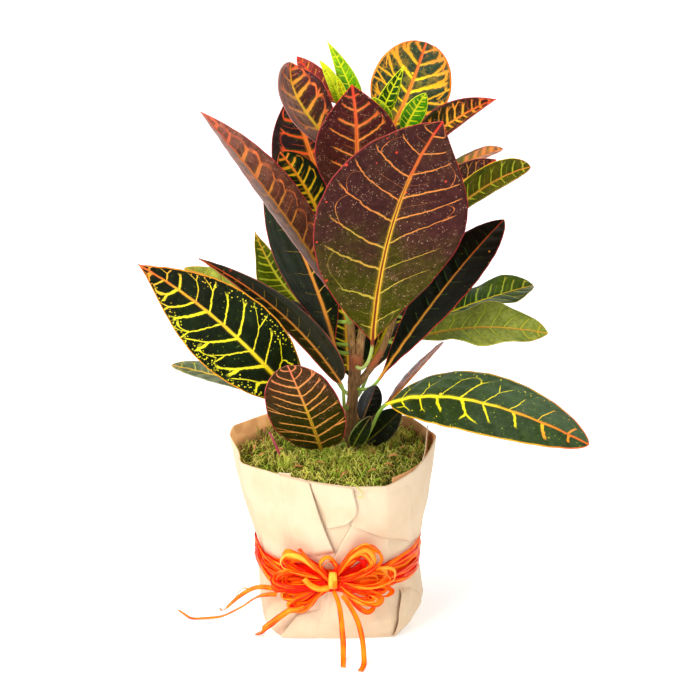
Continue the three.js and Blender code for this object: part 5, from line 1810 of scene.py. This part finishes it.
def tieStrand(bm, draw, row, stand, wide):
    # one loose strand; those that start close to the waist lie deep in the bow and are painted deep red as
    # shade, those that stand far out are toned lighter
    seed = draw.uniform(0, 90)
    spots = [bowSpot(*pixel, blendValue(*stand, k / (len(row) - 1))) for k, pixel in enumerate(row)]
    last = 29
    path = evenPath(spots, last + 1)
    tilt = draw.uniform(-0.6, 0.6)

    def face(t):
        here = path[round(t * last)]
        return Vector((here.x, here.y, 0)).normalized() + up * (tilt + 0.3 * math.sin(6 * t))

    deep = 0.85 if stand[0] in (3, 4) else -0.2 if stand[0] > 9 else 0.3
    ribbon(bm, path, face, lambda t: wide * mm, 0.2, seed, 4, lambda t: deep)


def tieKnot(bm, draw, n):
    # one of the knot's own turns, wrapped over the middle, painted mostly in the yellow highlight colour
    seed = draw.uniform(0, 90)
    last = 32
    path = []
    for k in range(last + 1):
        a = fullTurn * k / last
        out = 1.2 + bow["knotRadius"] + 4.6 * math.sin(a)
        px = bow["knot"][0] + (n - 2) * 1.0 + 0.6 * math.cos(a + n)
        path.append(bowSpot(px, bow["knot"][1] - 8.4 * math.cos(a), max(out, 2.2)))
    centre = sum(path, Vector()) / len(path)

    def face(t):
        return path[round(t * last)] - centre

    ribbon(bm, path, face, lambda t: 3.6 * mm, 0.2, seed, 4, lambda t: -0.5)


def makeBow():
    bm = startStrands()
    draw = random.Random(8)
    for row, out, count in bow["loops"]:
        for n in range(count):
            stand = out * (1 - 0.5 * n / count) + draw.uniform(-1.5, 1.5)
            shrink = 1 - 0.3 * n / count - draw.uniform(0, 0.05)
            tieLoop(bm, draw, row, stand, shrink, 0.45 * n / count)
    for row, stand, wide in bow["strands"]:
        tieStrand(bm, draw, row, stand, wide)
    for n in range(5):
        tieKnot(bm, draw, n)
    thickenStrands(bm, 0.5)
    finishPiece("raffia_loops", bm, raffiaMaterial, "raffia_bow")


makeBand()
makeBow()
print("raffia tied")


# Pot and soil keep the frame's shapes
def dress(node, material):
    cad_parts[node].data.materials.clear()
    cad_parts[node].data.materials.append(material)


dress("pot", grainMaterial("terracottaPlastic", "#7a3f26", "#6a3420", 90.0, (0.5, 0.62), (0.15, 0.0003)))
dress("soil", grainMaterial("pottingSoil", "#2c1f16", "#4a3626", 260.0, 0.95, (0.9, 0.0012)))

# Studio: white floor and backdrop, and broad soft lights from the left and above
studio = {"floor": 9.0, "white": "#f6f6f6", "ambient": 0.62, "backdrop": 1.5, "front": 0.03, "softbox": 0.5}


def makeFloor():
    bm = bmesh.new()
    bmesh.ops.create_grid(bm, x_segments=2, y_segments=2, size=studio["floor"])
    mesh = bpy.data.meshes.new("floor")
    bm.to_mesh(mesh)
    bm.free()
    m = Material("floorWhite")
    made = m.group(grainGroup, {"Colour": paint(studio["white"]), "Other": paint("#f3f3f3"), "Scale": 3.0})
    m.give("Base Color", made["Colour"])
    m.give("Roughness", 0.9)
    m.give("Emission Color", (1, 1, 1, 1))
    seen = m.node("LightPath").outputs["Is Camera Ray"]
    far = m.ease(m.parts(m.objectPlace())[1], 0.2, 1.6, 0.37, 0.7)
    m.give("Emission Strength", m.ease(seen, 0.0, 1.0, 0.26, far))
    mesh.materials.append(m.material)
    floor = bpy.data.objects.new("floor", mesh)
    floor.location.z = -0.0004
    floor.visible_glossy = False
    bpy.context.scene.collection.objects.link(floor)


def makeLight(name, where, aim, size, power, colour=(1, 1, 1)):
    data = bpy.data.lights.new(name, "AREA")
    data.shape = "DISK"
    data.size = size
    data.energy = power
    data.color = colour
    light = bpy.data.objects.new(name, data)
    light.location = where
    light.rotation_euler = (Vector(aim) - Vector(where)).to_track_quat("-Z", "Y").to_euler()
    light.visible_glossy = False
    bpy.context.scene.collection.objects.link(light)


def makeWorld():
    # an even light for matt surfaces, and for glossy ones a bright backdrop, a dark front and
    # a soft window high at the left
    world = bpy.data.worlds.new("studio")
    world.use_nodes = True
    bpy.context.scene.world = world
    p = Painter(world.node_tree)
    back = p.tree.nodes["Background"].inputs
    way = p.parts(p.node("TexCoord").outputs["Generated"])
    behind = p.ease(way[1], 0.1, 0.75, studio["front"], studio["backdrop"])
    behind = p.times(behind, p.ease(way[2], 0.1, 0.45, 1.0, 0.25))
    left = p.ease(way[0], -0.45, -0.8, 0.0, studio["softbox"])
    left = p.times(left, p.ease(way[2], 0.1, 0.5))
    behind = p.plus(behind, left)
    path = p.node("LightPath").outputs
    seen = p.times(path["Is Camera Ray"], 1.0 - studio["ambient"])
    strength = p.times(path["Is Glossy Ray"], p.less(behind, studio["ambient"]))
    strength = p.plus(strength, seen)
    p.feed(back["Strength"], p.plus(strength, studio["ambient"]))
    back["Color"].default_value = (1, 1, 1, 1)
    bpy.context.scene.view_settings.view_transform = "Standard"


makeFloor()
makeWorld()
makeLight("key", (-1.3, -1.5, 1.5), (0, 0, 0.25), 1.1, 38, (1.0, 0.98, 0.94))
makeLight("top", (-0.3, 0.2, 1.9), (0, 0, 0.2), 1.2, 18)
makeLight("fill", (1.7, -1.2, 0.9), (0, 0, 0.25), 1.4, 7)
print("studio lit")
